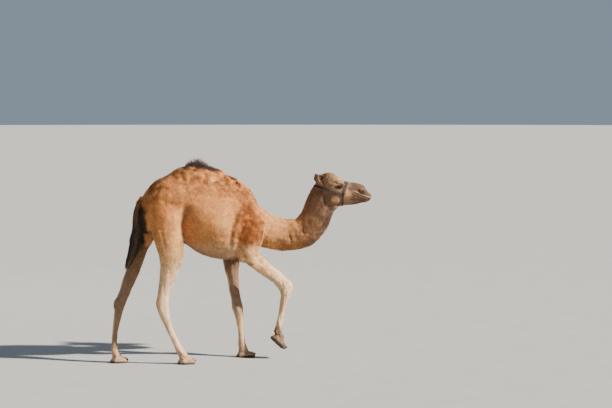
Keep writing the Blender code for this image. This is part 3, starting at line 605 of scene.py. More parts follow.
    def describe(self):
        """The colour, the lie and the size of the coat at each vertex."""
        self.points, self.normals = points_of(self.mesh), normals_of(self.mesh)
        self.s = straight(self.points)
        self.in_ear = self.ear_inside()
        self.paint()
        self.comb()
        smooth_shaded(self.mesh)
        # The bare skin is painted darker than the coat over it, as painted shade beneath the hair.
        shade = np.where(self.on(("head", "ear_", "foot_")), 0.92, 0.84)
        rgba = np.ones((len(self.points), 4))
        rgba[:, :3] = self.colour * shade[:, None]
        layer = self.mesh.color_attributes.new("coat", "FLOAT_COLOR", "POINT")
        layer.data.foreach_set("color", rgba.ravel())

    def comb(self):
        """Which way the hair lies, in world directions along the skin."""
        s, y = self.s, np.sign(self.s[:, 1])
        x, z = s[:, 0], s[:, 2]
        d = np.tile([-1.0, 0.0, -0.35], (len(s), 1))
        d[:, 1] += 0.5 * step(1.50, 1.60, z) * y
        d[:, 2] -= 0.9 * self.patch + 1.0 * step(-0.30, -0.48, x) * (z > 1.0)
        d[:, 2] -= 0.8 * step(0.42, 0.50, x) * (x < 0.62)
        rising = step(0.80, 1.00, x)
        cheek = step(1.45, 1.36, z) * step(1.24, 1.12, x)
        for name, way in (
            ("neck", (-1 + 0.75 * rising, 0, -0.30 - 0.9 * rising)),
            ("head", (-1, 0.2 * y, 0.25 - 1.1 * cheek)),
            ("ear_", (-0.35, 0.45 * y, 0.83)),
        ):
            on = self.on(name)
            d[on] = np.stack([value + 0 * x for value in way], axis=1)[on]
        d = world_direction(s, d)
        for leg in LEGS:
            upper, lower = (points_of(nodes[f"leg_{leg}_{part}"].data) for part in ("upper", "lower"))
            foot = points_of(nodes[f"foot_{leg}"].data).mean(axis=0)
            toes = points_of(nodes[f"nail_{leg}_outer"].data).mean(axis=0)
            knee = (upper[upper[:, 2].argmin()] + lower[lower[:, 2].argmax()]) / 2
            hip = upper[upper[:, 2] > upper[:, 2].max() - 0.02].mean(axis=0)
            d[self.on(f"leg_{leg}_upper")] = unit(knee - hip)
            d[self.on(f"leg_{leg}_lower")] = unit(foot - knee)
            d[self.on(f"foot_{leg}")] = unit(toes - knee)
        d[self.on("tail")] = [0, 0, -1]
        d = spread(self.mesh, unit(d), 25)
        self.flow = unit(d - self.normals * (d * self.normals).sum(axis=1, keepdims=True))

    def mix(self, into, mask):
        """Lays a colour over what is there, as far as mask goes."""
        m = np.clip(mask, 0, 1)[:, None]
        self.colour = self.colour * (1 - m) + into * m

    def paint(self):
        """The markings of skin and coat alike, with painted shade and painted highlights where the light
        falls.
        """
        s = self.s
        x, y, z = s.T
        self.side = step(0.05, 0.12, np.abs(y))
        self.lumps = [waves(s, size, seed) for size, seed in ((0.16, 1), (0.055, 2), (0.018, 3))]
        self.patch = self.shoulder(s)
        self.body = self.on(("trunk", "hump", "leg_", "foot_"))
        self.colour = np.tile(SAND, (len(s), 1))
        self.paint_back()
        self.paint_flank()
        self.paint_shoulder()
        self.paint_neck()
        low = 1 - step(0.92, 1.04, z)
        self.mix(colour(208, 180, 150), self.body * 0.45 * low * (1 - step(0.5, 0.9, self.patch)))
        self.paint_head()
        self.paint_face()
        self.paint_legs()
        self.mix(DARK, 0.9 * step(0.10, 0.40, blob(s, (-0.08, 0.0, 1.64), (0.175, 0.13, 0.075))))
        near_feet = np.where(self.on(("leg_", "foot_")) & (z < 0.45), 0.5, 0.1)[:, None]
        cool = np.maximum(step(0.80, 0.98, x) * (z > 1.0), 1 - step(0.60, 0.85, z))[:, None]
        self.colour = spread(self.mesh, self.colour, 8, near_feet) * (WARM * (1 - cool) + COOL * cool)

    def paint_back(self):
        """Tan along the back, sand on the flank with tan clouds, orange on the rump."""
        s, mix, body = self.s, self.mix, self.body
        x, _, z = s.T
        large, middle, small = self.lumps
        flank = body * step(-0.30, -0.20, x) * (1 - step(0.22, 0.30, x))
        rump = step(-0.20, -0.30, x) * step(1.20, 1.36, z + 0.03 * large)
        light = -0.6 * middle - small
        mix(TAN, flank * 0.55 * blob(s, (-0.05, 0.20, 1.20), (0.24, 0.30, 0.14)) * step(-1.0, 1.0, middle))
        mix(TAN, body * 0.45 * step(-0.2, 1.2, middle + 0.5 * large) * step(0.95, 1.25, z))
        mix(PALE, body * 0.85 * (1 - step(0.92, 1.12, z + 0.03 * middle)))
        mix(PALE, flank * 0.75 * blob(s, (0.12, 0.22, 1.20), (0.12, 0.30, 0.30)))
        mix(PALE, flank * 0.40 * step(0.4, 1.4, small + 0.3 * middle))
        mix(BROWN, flank * 0.50 * step(0.7, 1.6, small + 0.4 * middle) * (1 - step(1.05, 1.16, z)))
        mix(TAN, body * 0.60 * step(1.36, 1.50, z + 0.03 * large + 0.03 * middle))
        mix(ORANGE, body * 0.22 * step(1.46, 1.58, z + 0.03 * middle) * step(-1.0, 0.8, large))
        mix(ORANGE, body * 0.30 * rump * step(-1.0, 1.0, middle))
        mix(ORANGE, body * 0.40 * blob(s, (-0.36, 0.20, 1.30), (0.16, 0.24, 0.16)))
        mix(RUST, body * 0.22 * step(0.5, 1.6, -light) * np.clip(step(1.33, 1.46, z) + rump, 0, 1))
        mix(PALE, body * 0.32 * step(0.2, 1.6, light) * np.clip(step(1.30, 1.42, z) + rump, 0, 1))
        mix(PALE, body * 0.70 * blob(s, (-0.30, 0.20, 1.10), (0.10, 0.24, 0.26)))

    def paint_flank(self):
        """Painted shade in the fold of the flank, under the belly, in the hamstring's crease and beside the
        tail; a painted highlight on the thigh's front; the pale belly, the tail's dark hair on the buttocks
        and the streaky thighs.
        """
        s, mix, body, side = self.s, self.mix, self.body, self.side
        x, y, z = s.T
        _, middle, small = self.lumps
        wavy, under = z + 0.02 * middle, -self.normals[:, 2]
        belly = (x > -0.20) * (x < 0.24) * step(0.02, 0.09, np.abs(y))
        # painted shade in the fold of the flank before the thigh
        mix(BROWN, body * 0.70 * fold(s, FLANK_FOLD, 0.010, 0.055) * side)
        mix(DARK, body * 0.35 * fold(s, FLANK_FOLD, 0.008, 0.026) * side)
        mix(colour(214, 194, 174), body * 0.70 * (1 - step(0.90, 1.02, wavy)) * belly)
        # painted shade on the faces that turn down, under the belly
        mix(
            colour(178, 150, 126),
            body * 0.60 * step(0.10, 0.60, under) * (z > 0.80) * (1 - step(0.96, 1.08, wavy)),
        )
        mix(DARK, body * 0.70 * step(0.66, 0.95, under) * (z > 0.80))
        # a painted highlight along the thigh's front edge
        beside = fold(s, shifted(FLANK_FOLD, -0.040), 0.030, 0.022, 0.10)
        mix(colour(240, 198, 132), body * 0.55 * beside * side)
        # painted shade in the hamstring's crease
        mix(DARK, body * 0.45 * fold(s, HAM_LINE, 0.008, 0.008) * side)
        # the band beside the tail, darkened partly for the tail's dark hair and partly as painted shade
        # between tail and buttock
        mix(DARK, body * 0.80 * self.dark_hair_and_shade_by_tail(s, 0.150))
        mix(BLACKISH, body * 0.90 * self.dark_hair_and_shade_by_tail(s, 0.105))
        top = self.on("leg_") * step(0.62, 0.76, z) * (1 - step(1.20, 1.34, z))
        streak = waves(s * [1, 1, 0.18], 0.045, 8) + 0.4 * small
        mix(BROWN, top * 0.30 * step(0.3, 1.3, streak))
        mix(colour(228, 190, 130), top * 0.45 * step(0.2, 1.2, -streak))

    def paint_shoulder(self):
        """The orange patch with its paler rim and rust rear edge, painted shade in the elbow's fold and under
        the chest, and the curls at the elbow.
        """
        s, mix, body, side, patch = self.s, self.mix, self.body, self.side, self.patch
        _, y, z = s.T
        _, middle, small = self.lumps
        rear = fold(s, PATCH_REAR, 0.012, 0.016) * step(0.9, 1.05, z) * step(-0.8, 0.4, small)
        elbow = fold(s, ELBOW_FOLD, 0.020, 0.010, 0.10) * side * (1 - 0.4 * step(1.05, 1.20, z))
        curls = blob(s, (0.29, 0.16, 0.94), (0.10, 0.12, 0.08))
        mix(ORANGE, 0.85 * patch)
        mix(TAN, 0.60 * patch * step(1.22, 1.38, z + 0.03 * middle))
        mix(RUST, 0.26 * patch * step(0.0, 1.3, small + 0.4 * middle) * (1 - step(1.20, 1.34, z)))
        mix(TAN, 0.60 * patch * (1 - step(0.35, 0.85, self.shoulder(s + [0.045, 0, 0]))))
        mix(RUST, 0.80 * rear * step(0.05, 0.10, np.abs(y)))
        # painted shade in the fold behind the elbow
        mix(BLACKISH, body * 0.85 * elbow)
        # painted shade under the chest, between the forelegs
        mix(DARK, body * 0.55 * blob(s, (0.26, 0.0, 0.90), (0.16, 0.15, 0.14)))
        mix(colour(112, 62, 34), 0.26 * patch * (1 - step(1.12, 1.26, z + 0.02 * middle)))
        mix(RUST, 0.75 * curls * step(0.0, 0.8, waves(s, 0.018, 4)))
        mix(DARK, 0.55 * curls * step(0.4, 1.2, waves(s, 0.020, 9)))

    def paint_neck(self):
        """Pale at the base and, as a painted highlight, on the faces that turn up; browner towards the head;
        painted shade in its creases; reddish at the throat, darkened further with painted shade.
        """
        s, mix = self.s, self.mix
        x, _, z = s.T
        _, middle, small = self.lumps
        neck = self.on("neck") | (self.on("trunk") & (x > 0.47) & (self.patch < 0.5))
        rings = step(0.1, 1.0, np.sin(x * math.tau / 0.030 + 2.0 * middle))
        bands = step(0.2, 1.0, np.sin(x * 45 + z * 70 + 2.5 * middle))
        throat = blob(s, (1.10, 0.0, 1.20), (0.12, 0.12, 0.17))
        ahead = (self.normals * world_direction(s, np.tile([1.0, 0.0, -0.3], (len(s), 1)))).sum(axis=1)
        mix(PALE, neck * 0.80 * (1 - step(0.78, 0.98, x)))
        mix(BROWN, neck * 0.28 * rings * (1 - step(1.04, 1.12, z)))
        mix(colour(150, 112, 80), neck * 0.55 * step(0.58, 0.76, x))
        mix(BROWN, neck * 0.78 * step(0.84, 0.98, x + 0.02 * middle))
        mix(SAND, neck * 0.50 * step(0.84, 0.98, x) * bands)
        mix(BROWN, neck * 0.45 * step(0.5, 1.5, middle + small))
        # painted shade in the neck's creases
        for line in NECK_LINES:
            mix(DARK, neck * 0.85 * fold(s, line, 0.007, 0.007))
        # a painted highlight on the faces that turn up, along the neck's top
        mix(PALE, neck * 0.70 * step(0.3, 0.9, self.normals[:, 2]) * (1 - step(0.70, 0.82, x)))
        # the throat's reddish-brown hair, darkened as painted shade, and its faces turned forward darker
        # still as painted shade
        mix(colour(84, 52, 36), step(0.0, 0.55, throat))
        mix(DARK, 0.45 * throat * step(0.3, 0.9, ahead))
        mix(colour(122, 94, 76), neck * 0.80 * step(0.86, 0.92, x) * step(0.2, 0.7, -ahead))
        mix(BROWN, neck * 0.60 * step(0.93, 1.02, x) * step(1.18, 1.26, z) * (1 - throat))
        mix(colour(118, 96, 82), neck * 0.40 * step(0.84, 0.98, x))

    def paint_head(self):
        """Brown, paler at the brow and the jaw, with a painted highlight on the bridge, a grey muzzle, and
        painted shade in the hollows and the jaw's fold.
        """
        s, mix = self.s, self.mix
        x, y, _ = s.T
        _, middle, small = self.lumps
        head, all_over = self.on(("head", "ear_")), np.ones(len(s))
        mix(colour(148, 122, 100), head * 1.0)
        mix(TAN, head * 0.50 * blob(s, (1.10, 0.0, 1.57), (0.13, 0.10, 0.06)))
        mix(BROWN, head * 0.50 * step(0.2, 1.4, middle + 0.6 * small) * (1 - step(1.25, 1.30, x)))
        mix(colour(108, 86, 72), head * 0.70 * blob(s, (1.14, 0.08, 1.38), (0.16, 0.10, 0.11)))
        mix(PALE, head * 0.65 * blob(s, (1.20, 0.0, 1.52), (0.10, 0.10, 0.05)))
        # a painted highlight on the bridge, in front of the noseband
        mix(PALE, head * 0.75 * blob(s, (1.270, 0.06, 1.400), (0.034, 0.06, 0.055)))
        mix(GREY, head * 0.85 * step(1.27, 1.33, x + 0.01 * middle))
        # painted shade at the eye's line, in the hollow behind the eye and in the jaw's fold
        mix(DARK, 0.55 * blob(s, (1.135, 0.088, 1.470), (0.055, 0.05, 0.018)))
        mix(DARK, 0.60 * blob(s, (1.037, 0.074, 1.421), (0.034, 0.05, 0.034)))
        mix(DARK, 0.60 * fold(s, JAW_FOLD, 0.012, 0.016) * step(0.03, 0.06, np.abs(y)))
        for into, where, share, centre, radii in (
            (colour(96, 54, 36), all_over, 0.70, (1.185, 0.049, 1.315), (0.060, 0.06, 0.030)),
            (PALE, head, 0.50, (1.143, 0.085, 1.345), (0.030, 0.05, 0.038)),
            (ORANGE, head, 0.35, (1.060, 0.0, 1.560), (0.060, 0.09, 0.050)),
            (colour(160, 104, 62), head, 0.65, (1.392, 0.049, 1.437), (0.030, 0.04, 0.018)),
        ):
            mix(into, where * share * blob(s, centre, radii))

    def paint_face(self):
        """Lips with a painted highlight on the upper rim and painted shade below and along the mouth's line,
        nostrils with painted shade in their slits, the dark surrounds of the eyes, and ears with pale rims.
        """
        s, mix = self.s, self.mix
        head = self.on(("head", "ear_"))
        t, off = mouth_line(s)
        lips = step(0.0, 0.10, t) * (s[:, 0] > 1.30) * head
        # the upper lip's pale rim, brightened as a painted highlight
        mix(LIP_HIGHLIGHT, lips * 0.85 * step(0.001, 0.004, off) * (1 - step(0.012, 0.022, off)))
        # painted shade on the lower lip and jaw below the mouth
        mix(BROWN, lips * 0.75 * step(0.0, 0.006, -off) * (1 - step(0.030, 0.060, -off)))
        # painted shade in the mouth's line
        mix(BLACKISH, lips * 0.85 * np.exp(-(((off + 0.001) / 0.0024) ** 2)))
        slit, rim = nostril(s)
        mix(colour(96, 70, 54), head * 0.7 * rim)
        # painted shade in the nostrils' slits
        mix(BLACKISH, head * 0.95 * step(0.25, 0.7, slit))
        near_eye = blob(s, (1.188, 0.085, 1.458), (0.066, 0.08, 0.028))
        mix(DARK, head * 0.80 * step(0.05, 0.5, near_eye))
        mix(BLACKISH, head * 0.90 * step(0.30, 0.60, near_eye))
        mix(PALE, head * 0.5 * blob(s, (1.19, 0.085, 1.497), (0.040, 0.06, 0.014)))
        mix(BROWN, 0.7 * self.on("ear_") * step(-1.2, 0.8, self.lumps[1]))
        mix(DARK, 0.75 * self.in_ear)

    def paint_legs(self):
        """Pale sand, browner behind the joints and on the feet, with painted shade on the lifted foot and on
        the inner sides of the far legs; and the tail.
        """
        s, mix = self.s, self.mix
        x, y, z = s.T
        _, middle, small = self.lumps
        leg, foot, tail = self.on("leg_"), self.on("foot_"), self.on("tail")
        arm, lifted = self.on(f"leg_{LIFTED}_upper") * (z < 0.94), self.on(f"foot_{LIFTED}")
        inner = step(0.1, 0.6, -self.normals[:, 1]) * (y > 0.02) * (z < 0.98)
        root = step(1.15, 1.30, z)
        mix(BONE, (leg + foot) * 0.85 * (1 - step(0.75, 0.98, z)))
        mix(BROWN, leg * 0.30 * step(0.6, 1.6, middle + small))
        mix(RUST, arm * 0.65 * step(0.5, 1.2, waves(s, 0.030, 6)) * step(0.74, 0.80, z))
        for joint in ((-0.455, 0.137, 0.50), (-0.755, 0.118, 0.48)):
            mix(BROWN, leg * 0.40 * blob(s, joint, (0.050, 0.07, 0.12)))
        mix(BROWN, (foot + leg) * 0.60 * (1 - step(0.04, 0.19, z)))
        # painted shade over the lifted foot
        mix(BROWN, lifted * 0.75)
        mix(DARK, lifted * 0.55)
        # painted shade on the inner sides of the far legs, where the body's shadow falls
        body_shadow_height = np.where(x < 0, step(0.02, 0.20, z), step(0.20, 0.50, z))
        mix(colour(126, 104, 88), leg * 0.80 * inner * body_shadow_height)
        mix(DARK, leg * np.where(x > 0, 0.50, 0.20) * inner * step(0.40, 0.75, z))
        mix(RUST, tail * root)
        mix(BLACKISH, tail * (1 - root))

    def ear_inside(self):
        """1 on the hollow side of each ear."""
        inside = np.zeros(len(self.points))
        for side, name in SIDES.items():
            base, axis, reach, facing = ear_axes(side)
            rel = self.points - base
            on = self.on(f"ear_{name}") * step(0.22, 0.36, rel @ axis / reach)
            inside += on * step(0.05, 0.40, self.normals @ facing) * (rel @ facing < 0.030)
        return inside


def ear_axes(side):
    """The root, unit direction and length of an ear, and which way its hollow faces, in world coordinates."""
    solid = points_of(nodes[f"ear_{SIDES[side]}"].data)
    s = np.array([[1.027, side * 0.072, 1.484]])
    base = world(s)[0]
    reach = np.linalg.norm(solid - base, axis=1)
    axis = unit(solid[reach.argmax()] - base)
    facing = world_direction(s, np.array([[0.75, side * 0.62, 0.10]]))[0]
    facing = unit(facing - axis * (facing @ axis))
    return base, axis, reach.max(), facing


def mouth_line(s):
    """How far along the mouth from its corner, 1 at its tip, and how far above it straight points are."""
    corner, tip = np.array([1.305, 1.418]), np.array([1.470, 1.350])
    course = tip - corner
    length = np.linalg.norm(course)
    course = course / length
    rel = s[:, [0, 2]] - corner
    t = rel @ course / length
    sag = -0.0055 * np.sin(math.pi * np.clip(t, 0, 1))
    off = rel @ np.array([-course[1], course[0]]) - sag
    return t, off


def nostril(s):
    """1 in the slit of the nostrils and on their rim, at straight points."""
    centre, slope = np.array([1.397, 0.043, 1.416]), math.radians(38)
    rel = np.stack([s[:, 0], np.abs(s[:, 1]), s[:, 2]], axis=1) - centre
    near = np.abs(rel[:, 1]) < 0.04
    along = rel[:, 0] * math.cos(slope) - rel[:, 2] * math.sin(slope)
    across = rel[:, 0] * math.sin(slope) + rel[:, 2] * math.cos(slope) + 9.0 * along**2
    slit = np.exp(-((along / 0.0150) ** 4)) * np.exp(-((across / 0.0030) ** 2)) * near
    ring = np.sqrt((along / 0.019) ** 2 + (across / 0.0085) ** 2)
    return slit, np.exp(-(((ring - 1) / 0.32) ** 2)) * near


def eye_frame(side):
    """The middle and radius of an eyeball, and out of the head, ahead and up there, in world coordinates."""
    low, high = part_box(f"eye_{SIDES[side]}")
    here = np.array([[EYE[0], side * 0.09, EYE[2]]])
    out = world_direction(here, unit(np.array([[0.30, side * 0.93, 0.12]])))[0]
    ahead = world_direction(here, unit(np.array([[0.94, -side * 0.30, -0.16]])))[0]
    up = np.cross(out, ahead) * -side
    ahead = np.cross(up, out) * -side
    return np.array((low + high) / 2), (high.z - low.z) / 2, out, ahead, up


def almond(u, v):
    """Below 1 inside the opening of the lids."""
    half = np.where(v > 0, 0.0085 + 0.0010 * np.clip(u / 0.02, -1, 1), 0.0075)
    return np.abs(u / 0.0215) ** 1.7 + np.abs(v / half) ** 1.7


# ---------------------------------------------------------------- coat


class Sampler:
    """Takes points of the skin at random, as many in each place as wanted there."""

    def __init__(self, skin):
        mesh = skin.mesh
        mesh.calc_loop_triangles()
        tris = np.empty(len(mesh.loop_triangles) * 3, np.int64)
        mesh.loop_triangles.foreach_get("vertices", tris)
        self.tris = tris.reshape(-1, 3)
        a, b, c = (skin.points[self.tris[:, k]] for k in range(3))
        self.area = np.linalg.norm(np.cross(b - a, c - a), axis=1) / 2

    def take(self, density, seed):
        """density is how many to a square metre at each vertex. Gives triangles' corners and weights."""
        rng = np.random.default_rng(seed)
        expected = self.area * density[self.tris].mean(axis=1)
        count = np.floor(expected + rng.random(len(expected))).astype(int)
        chosen = np.repeat(np.arange(len(expected)), count)
        r1, r2 = np.sqrt(rng.random(len(chosen))), rng.random(len(chosen))
        weights = np.stack([1 - r1, r1 * (1 - r2), r1 * r2], axis=1)
        return self.tris[chosen], weights


def at(values, corners, weights):
    """Vertex values at sampled points."""
    if values.ndim == 1:
        return (values[corners] * weights).sum(axis=1)
    return (values[corners] * weights[:, :, None]).sum(axis=1)


def unwrap(s, owner):
    """A place on the unit square for straight points: along and round the axis of each part of the body."""
    uv = np.zeros((len(s), 2))
    present = np.unique(owner)
    for row, part in enumerate(present):
        on = owner == part
        rel = s[on] - s[on].mean(axis=0)
        _, axes = np.linalg.eigh(np.cov(rel.T)) if on.sum() > 8 else (None, np.eye(3))
        up, side, along = rel @ axes[:, 0], rel @ axes[:, 1], rel @ axes[:, 2]
        low, high = along.min(), along.max() + 1e-9
        angle = np.arctan2(side, up) / math.tau + 0.5
        uv[on, 0] = 0.005 + 0.985 * (along - low) / (high - low)
        uv[on, 1] = (row + 0.01 + 0.97 * angle) / len(present)
    return uv


def build_hair(
    name, paths, across, above, widths, thicks, colours, uv, material, slot, replaced=(), lean=None
):
    """A mesh of tapered three-sided tufts.

    paths is tufts x rings x 3, with the tip as the last ring. across and above are directions, and widths and
    thicks sizes, at each ring but the tip; colours are at every ring. lean gives the skin's normals, towards
    which the tufts' own are turned.
    """
    count, rings = paths.shape[:2]
    body = rings - 1
    foot, wide = paths[:, :body], across * widths[..., None]
    corners = np.stack([foot - wide, foot + wide, foot + above * thicks[..., None]], axis=2)
    verts = np.concatenate([corners.reshape(count, body * 3, 3), paths[:, -1:]], axis=1)
    verts[..., 2] = np.maximum(verts[..., 2], 0.0)
    tip = body * 3
    each = tip + 1
    sides = ((0, 1), (1, 2), (2, 0))
    faces = []
    for base in range(0, tip - 3, 3):
        over = base + 3
        for a, b in sides:
            faces += [(base + a, base + b, over + b), (base + a, over + b, over + a)]
    faces += [(tip - 3 + a, tip - 3 + b, tip) for a, b in sides]
    index = (np.array(faces)[None] + (np.arange(count) * each)[:, None, None]).reshape(-1, 3)
    mesh = bpy.data.meshes.new(name)
    mesh.vertices.add(count * each)
    mesh.vertices.foreach_set("co", verts.astype(np.float32).ravel())
    mesh.loops.add(index.size)
    mesh.loops.foreach_set("vertex_index", index.astype(np.int32).ravel())
    mesh.polygons.add(len(index))
    mesh.polygons.foreach_set("loop_start", np.arange(0, index.size, 3, dtype=np.int32))
    mesh.polygons.foreach_set("loop_total", np.full(len(index), 3, np.int32))
    mesh.update(calc_edges=True)
    smooth_shaded(mesh)
    layer = mesh.color_attributes.new("coat", "FLOAT_COLOR", "POINT")
    rgba = np.ones((count, each, 4), np.float32)
    rgba[:, :tip, :3] = np.repeat(colours[:, :body], 3, axis=1)
    rgba[:, tip, :3] = colours[:, -1]
    layer.data.foreach_set("color", rgba.ravel())
    local = [(u, ring / body) for ring in range(body) for u in (0.0, 1.0, 0.5)] + [(0.5, 1.0)]
    spots = np.clip(uv, 0.001, 0.996)[:, None] + (np.array(local)[None] - 0.5) * UV_PATCH
    layer = mesh.uv_layers.new(name="OFBake")
    layer.data.foreach_set("uv", spots.reshape(-1, 2)[index.ravel()].astype(np.float32).ravel())
    if lean is not None:
        own = normals_of(mesh).reshape(count, each, 3)
        soft = unit(own * 0.40 + lean[:, None] * 0.60)
        mesh.normals_split_custom_set_from_vertices(soft.reshape(-1, 3))
    return place(name, mesh, material, slot, *replaced)


def tint(base, rng, along, root, tip, vary):
    """Colours along tufts, times root at the root and tip at the tip, each a little different; a root below 1
    is painted shade deep in the coat.
    """
    count = len(base)
    own = 1 + vary * rng.normal(size=(count, 1, 1))
    warm = 1 + 0.05 * rng.normal(size=(count, 1, 1)) * np.array([1.0, 0.0, -1.0])
    shade = (root + (tip - root) * along)[None, :, None]
    return np.clip(base[:, None] * own * warm * shade, 0.002, 1.0)


def lay_tufts(name, skin, corners, weights, size, material, seed):
    """Tufts that lie along the body. size gives length, half width, rise and unruliness at each vertex."""
    rng = np.random.default_rng(seed)
    count = len(corners)
    root, s = at(skin.points, corners, weights), at(skin.s, corners, weights)
    normal, flow = unit(at(skin.normals, corners, weights)), unit(at(skin.flow, corners, weights))
    length, half, rise, wild = (at(v, corners, weights) for v in size)
    length = length * np.exp(0.22 * rng.normal(size=count))
    half = half * np.exp(0.18 * rng.normal(size=count))
    rise = rise * np.exp(0.30 * rng.normal(size=count))
    swirl = wild * (0.85 * waves(root, 0.034, 61) + 0.60 * waves(root, 0.095, 62))
    swirl = (swirl + 0.15 * rng.normal(size=count))[:, None]
    course = unit(flow * np.cos(swirl) + np.cross(normal, flow) * np.sin(swirl))
    across = np.cross(normal, course)
    lift = 1 + 0.30 * wild * waves(root, 0.036, 63)
    bend = wild * rng.normal(size=count) * 0.38
    sunk = np.minimum(0.0012, 0.35 * rise)
    foot = root - normal * sunk[:, None]
    tip = foot + course * length[:, None] + normal * (rise * lift)[:, None]
    tip += across * (bend * length)[:, None]
    paths = np.stack([foot, tip], axis=1)
    clumps = np.clip(1 + 0.10 * waves(root, 0.013, 65) + 0.04 * waves(root, 0.032, 66), 0.5, 1.5)
    shaggy = float(name.startswith("wool"))
    base = at(skin.colour, corners, weights) * clumps[:, None]
    ends = np.array([0.0, 1.0])
    # darker towards the roots, as painted shade deep in the coat
    colours = tint(base, rng, ends, 0.80 - 0.22 * shaggy, 1.10 + 0.06 * shaggy, 0.08 + 0.05 * shaggy)
    uv = unwrap(s, skin.owner[corners[:, 0]])
    half, across, above = half[:, None], across[:, None], normal[:, None]
    return build_hair(
        name, paths, across, above, half, 0.34 * half + 0.0003, colours, uv, material, "fleece", lean=normal
    )


def tuft_sizes(skin):
    """Length, half width, rise and unruliness of the coat at each vertex, and where it is woolly."""
    s, z, x = skin.s, skin.s[:, 2], skin.s[:, 0]
    neck, head, legs, tail = (skin.on(name) for name in ("neck", "head", "leg_", "tail"))
    ears, feet = skin.on("ear_"), skin.on("foot_")
    above = step(1.34, 1.50, z) * skin.on(("trunk", "hump"))
    woolly = np.clip(skin.patch + above + step(-0.30, -0.42, x) * step(1.20, 1.35, z), 0, 1)
    long = 0.0140 + 0.005 * woolly
    long[neck] = 0.0140 + 0.010 * step(0.0, -0.9, skin.normals[neck, 2])
    long[legs] = np.where(z[legs] > 0.72, 0.0135, 0.0095)
    poll = blob(s, (1.045, 0.0, 1.56), (0.10, 0.13, 0.08)) + blob(s, (1.10, 0.0, 1.27), (0.09, 0.10, 0.07))
    poll = np.clip(poll, 0, 1)
    face = 0.0095 - 0.0045 * step(1.20, 1.32, x)
    long = np.where(head, face + 0.010 * poll, long)
    long *= 1 - 0.55 * (1 - step(0.022, 0.045, skin.eye_distance(s)))
    long[ears] = 0.0085
    long[tail] = 0.0220
    long[feet] = 0.0080 + 0.0040 * (1 - step(0.02, 0.05, z[feet]))
    half = 0.0004 + 0.064 * long - 0.0004 * woolly
    rise = np.maximum(skin.depth * np.where(head | ears | feet, 1.0, 0.80), 0.0015)
    wild = 0.24 + 0.62 * woolly
    wild[neck] = 0.42
    wild[legs] = 0.20
    wild[ears | feet] = 0.16
    wild = np.where(head, 0.16 + 0.5 * poll, wild)
    return spread(skin.mesh, np.stack([long, half, rise, wild], axis=1), 24).T, woolly


def bare_places(skin):
    """1 in the openings of eyes, nostrils and mouth, where no hair grows."""
    opening = np.zeros(len(skin.s))
    for side in SIDES:
        centre, _, out, ahead, up = eye_frame(side)
        rel = skin.points - centre
        q = almond(rel @ ahead, rel @ up)
        opening = np.maximum(opening, (1 - step(1.25, 2.1, q)) * (rel @ out > -0.01))
    slit, _ = nostril(skin.s)
    t, off = mouth_line(skin.s)
    return opening + step(0.3, 0.6, slit) + (np.abs(off) < 0.003) * (t > 0.05) * (skin.s[:, 0] > 1.30)


def coat(skin, material):
    """The coat in pieces, each below 200,000 triangles."""
    sampler = Sampler(skin)
    x, y, z = skin.s.T
    size, woolly = tuft_sizes(skin)
    body, legs, tail = skin.on(("trunk", "hump")), skin.on(("leg_", "foot_")), skin.on("tail")
    fleecy = step(0.15, 0.55, woolly + 0.15 * waves(skin.s, 0.03, 64))
    short = 1 - 0.75 * fleecy
    dock = z[tail].max()
    sides = (("right", y < 0), ("left", y >= 0))

    def quarters(start, where, middle, density):
        """A piece for each side and end, parted at middle along x."""
        ends = (("rear", x < middle), ("fore", x >= middle))
        return [(f"{start}_{a}_{b}", where * on * half, density) for a, on in sides for b, half in ends]

    plan = quarters("coat", body * short, -0.05, 86000)
    plan += [(f"wool_{a}", body * on * fleecy, 122000) for a, on in sides]
    plan.append(("coat_neck", skin.on("neck"), 105000))
    plan.append(("coat_head", skin.on(("head", "ear_")), 190000))
    plan.append(("coat_dock", tail * step(dock - 0.10, dock - 0.06, z), 260000))
    plan += quarters("coat_legs", legs, 0.0, 84000)
    hairy = np.clip(1 - bare_places(skin), 0, 1) * (1 - 0.5 * skin.in_ear) * 1.0
    for i, (name, where, density) in enumerate(plan):
        corners, weights = sampler.take(where * hairy * density, 100 + i)
        lay_tufts(name, skin, corners, weights, size, material, 200 + i)
    return sampler


def locks(name, root, course, length, half, colours, uv, wool, bends, seed, curl=0.3, replaced=()):
    """Long locks.

    course is tufts x rings x 3, unit directions along each lock; bends is how many curls each has, and curl
    is how far they go.
    """
    rng = np.random.default_rng(seed)
    count, rings = course.shape[:2]
    piece = (length / (rings - 1))[:, None, None]
    phase = rng.uniform(0, math.tau, (count, 1))
    turn = rng.uniform(0.7, 1.3, (count, 1)) * bends
    t = np.linspace(0, 1, rings)
    side = unit(np.cross(course[:, 0], rng.normal(size=(count, 3))))
    other = np.cross(course[:, 0], side)
    angle = (phase + turn * t * math.tau)[..., None]
    way = unit(course + (side[:, None] * np.sin(angle) + other[:, None] * np.cos(angle)) * curl)[:, :-1]
    paths = root[:, None] + np.concatenate([np.zeros((count, 1, 3)), np.cumsum(way * piece, axis=1)], axis=1)
    widths = half[:, None] * np.interp(t[:-1], [0, 0.3, 1], [0.8, 1.0, 0.35])
    across = unit(np.cross(way, other[:, None]))
    above = np.cross(way, across)
    # darker towards the roots, as painted shade among the locks
    shade = tint(colours, rng, t, 0.55, 1.15, 0.16)
    build_hair(name, paths, across, above, widths, widths * 0.6, shade, uv, wool, "dark_wool", replaced)


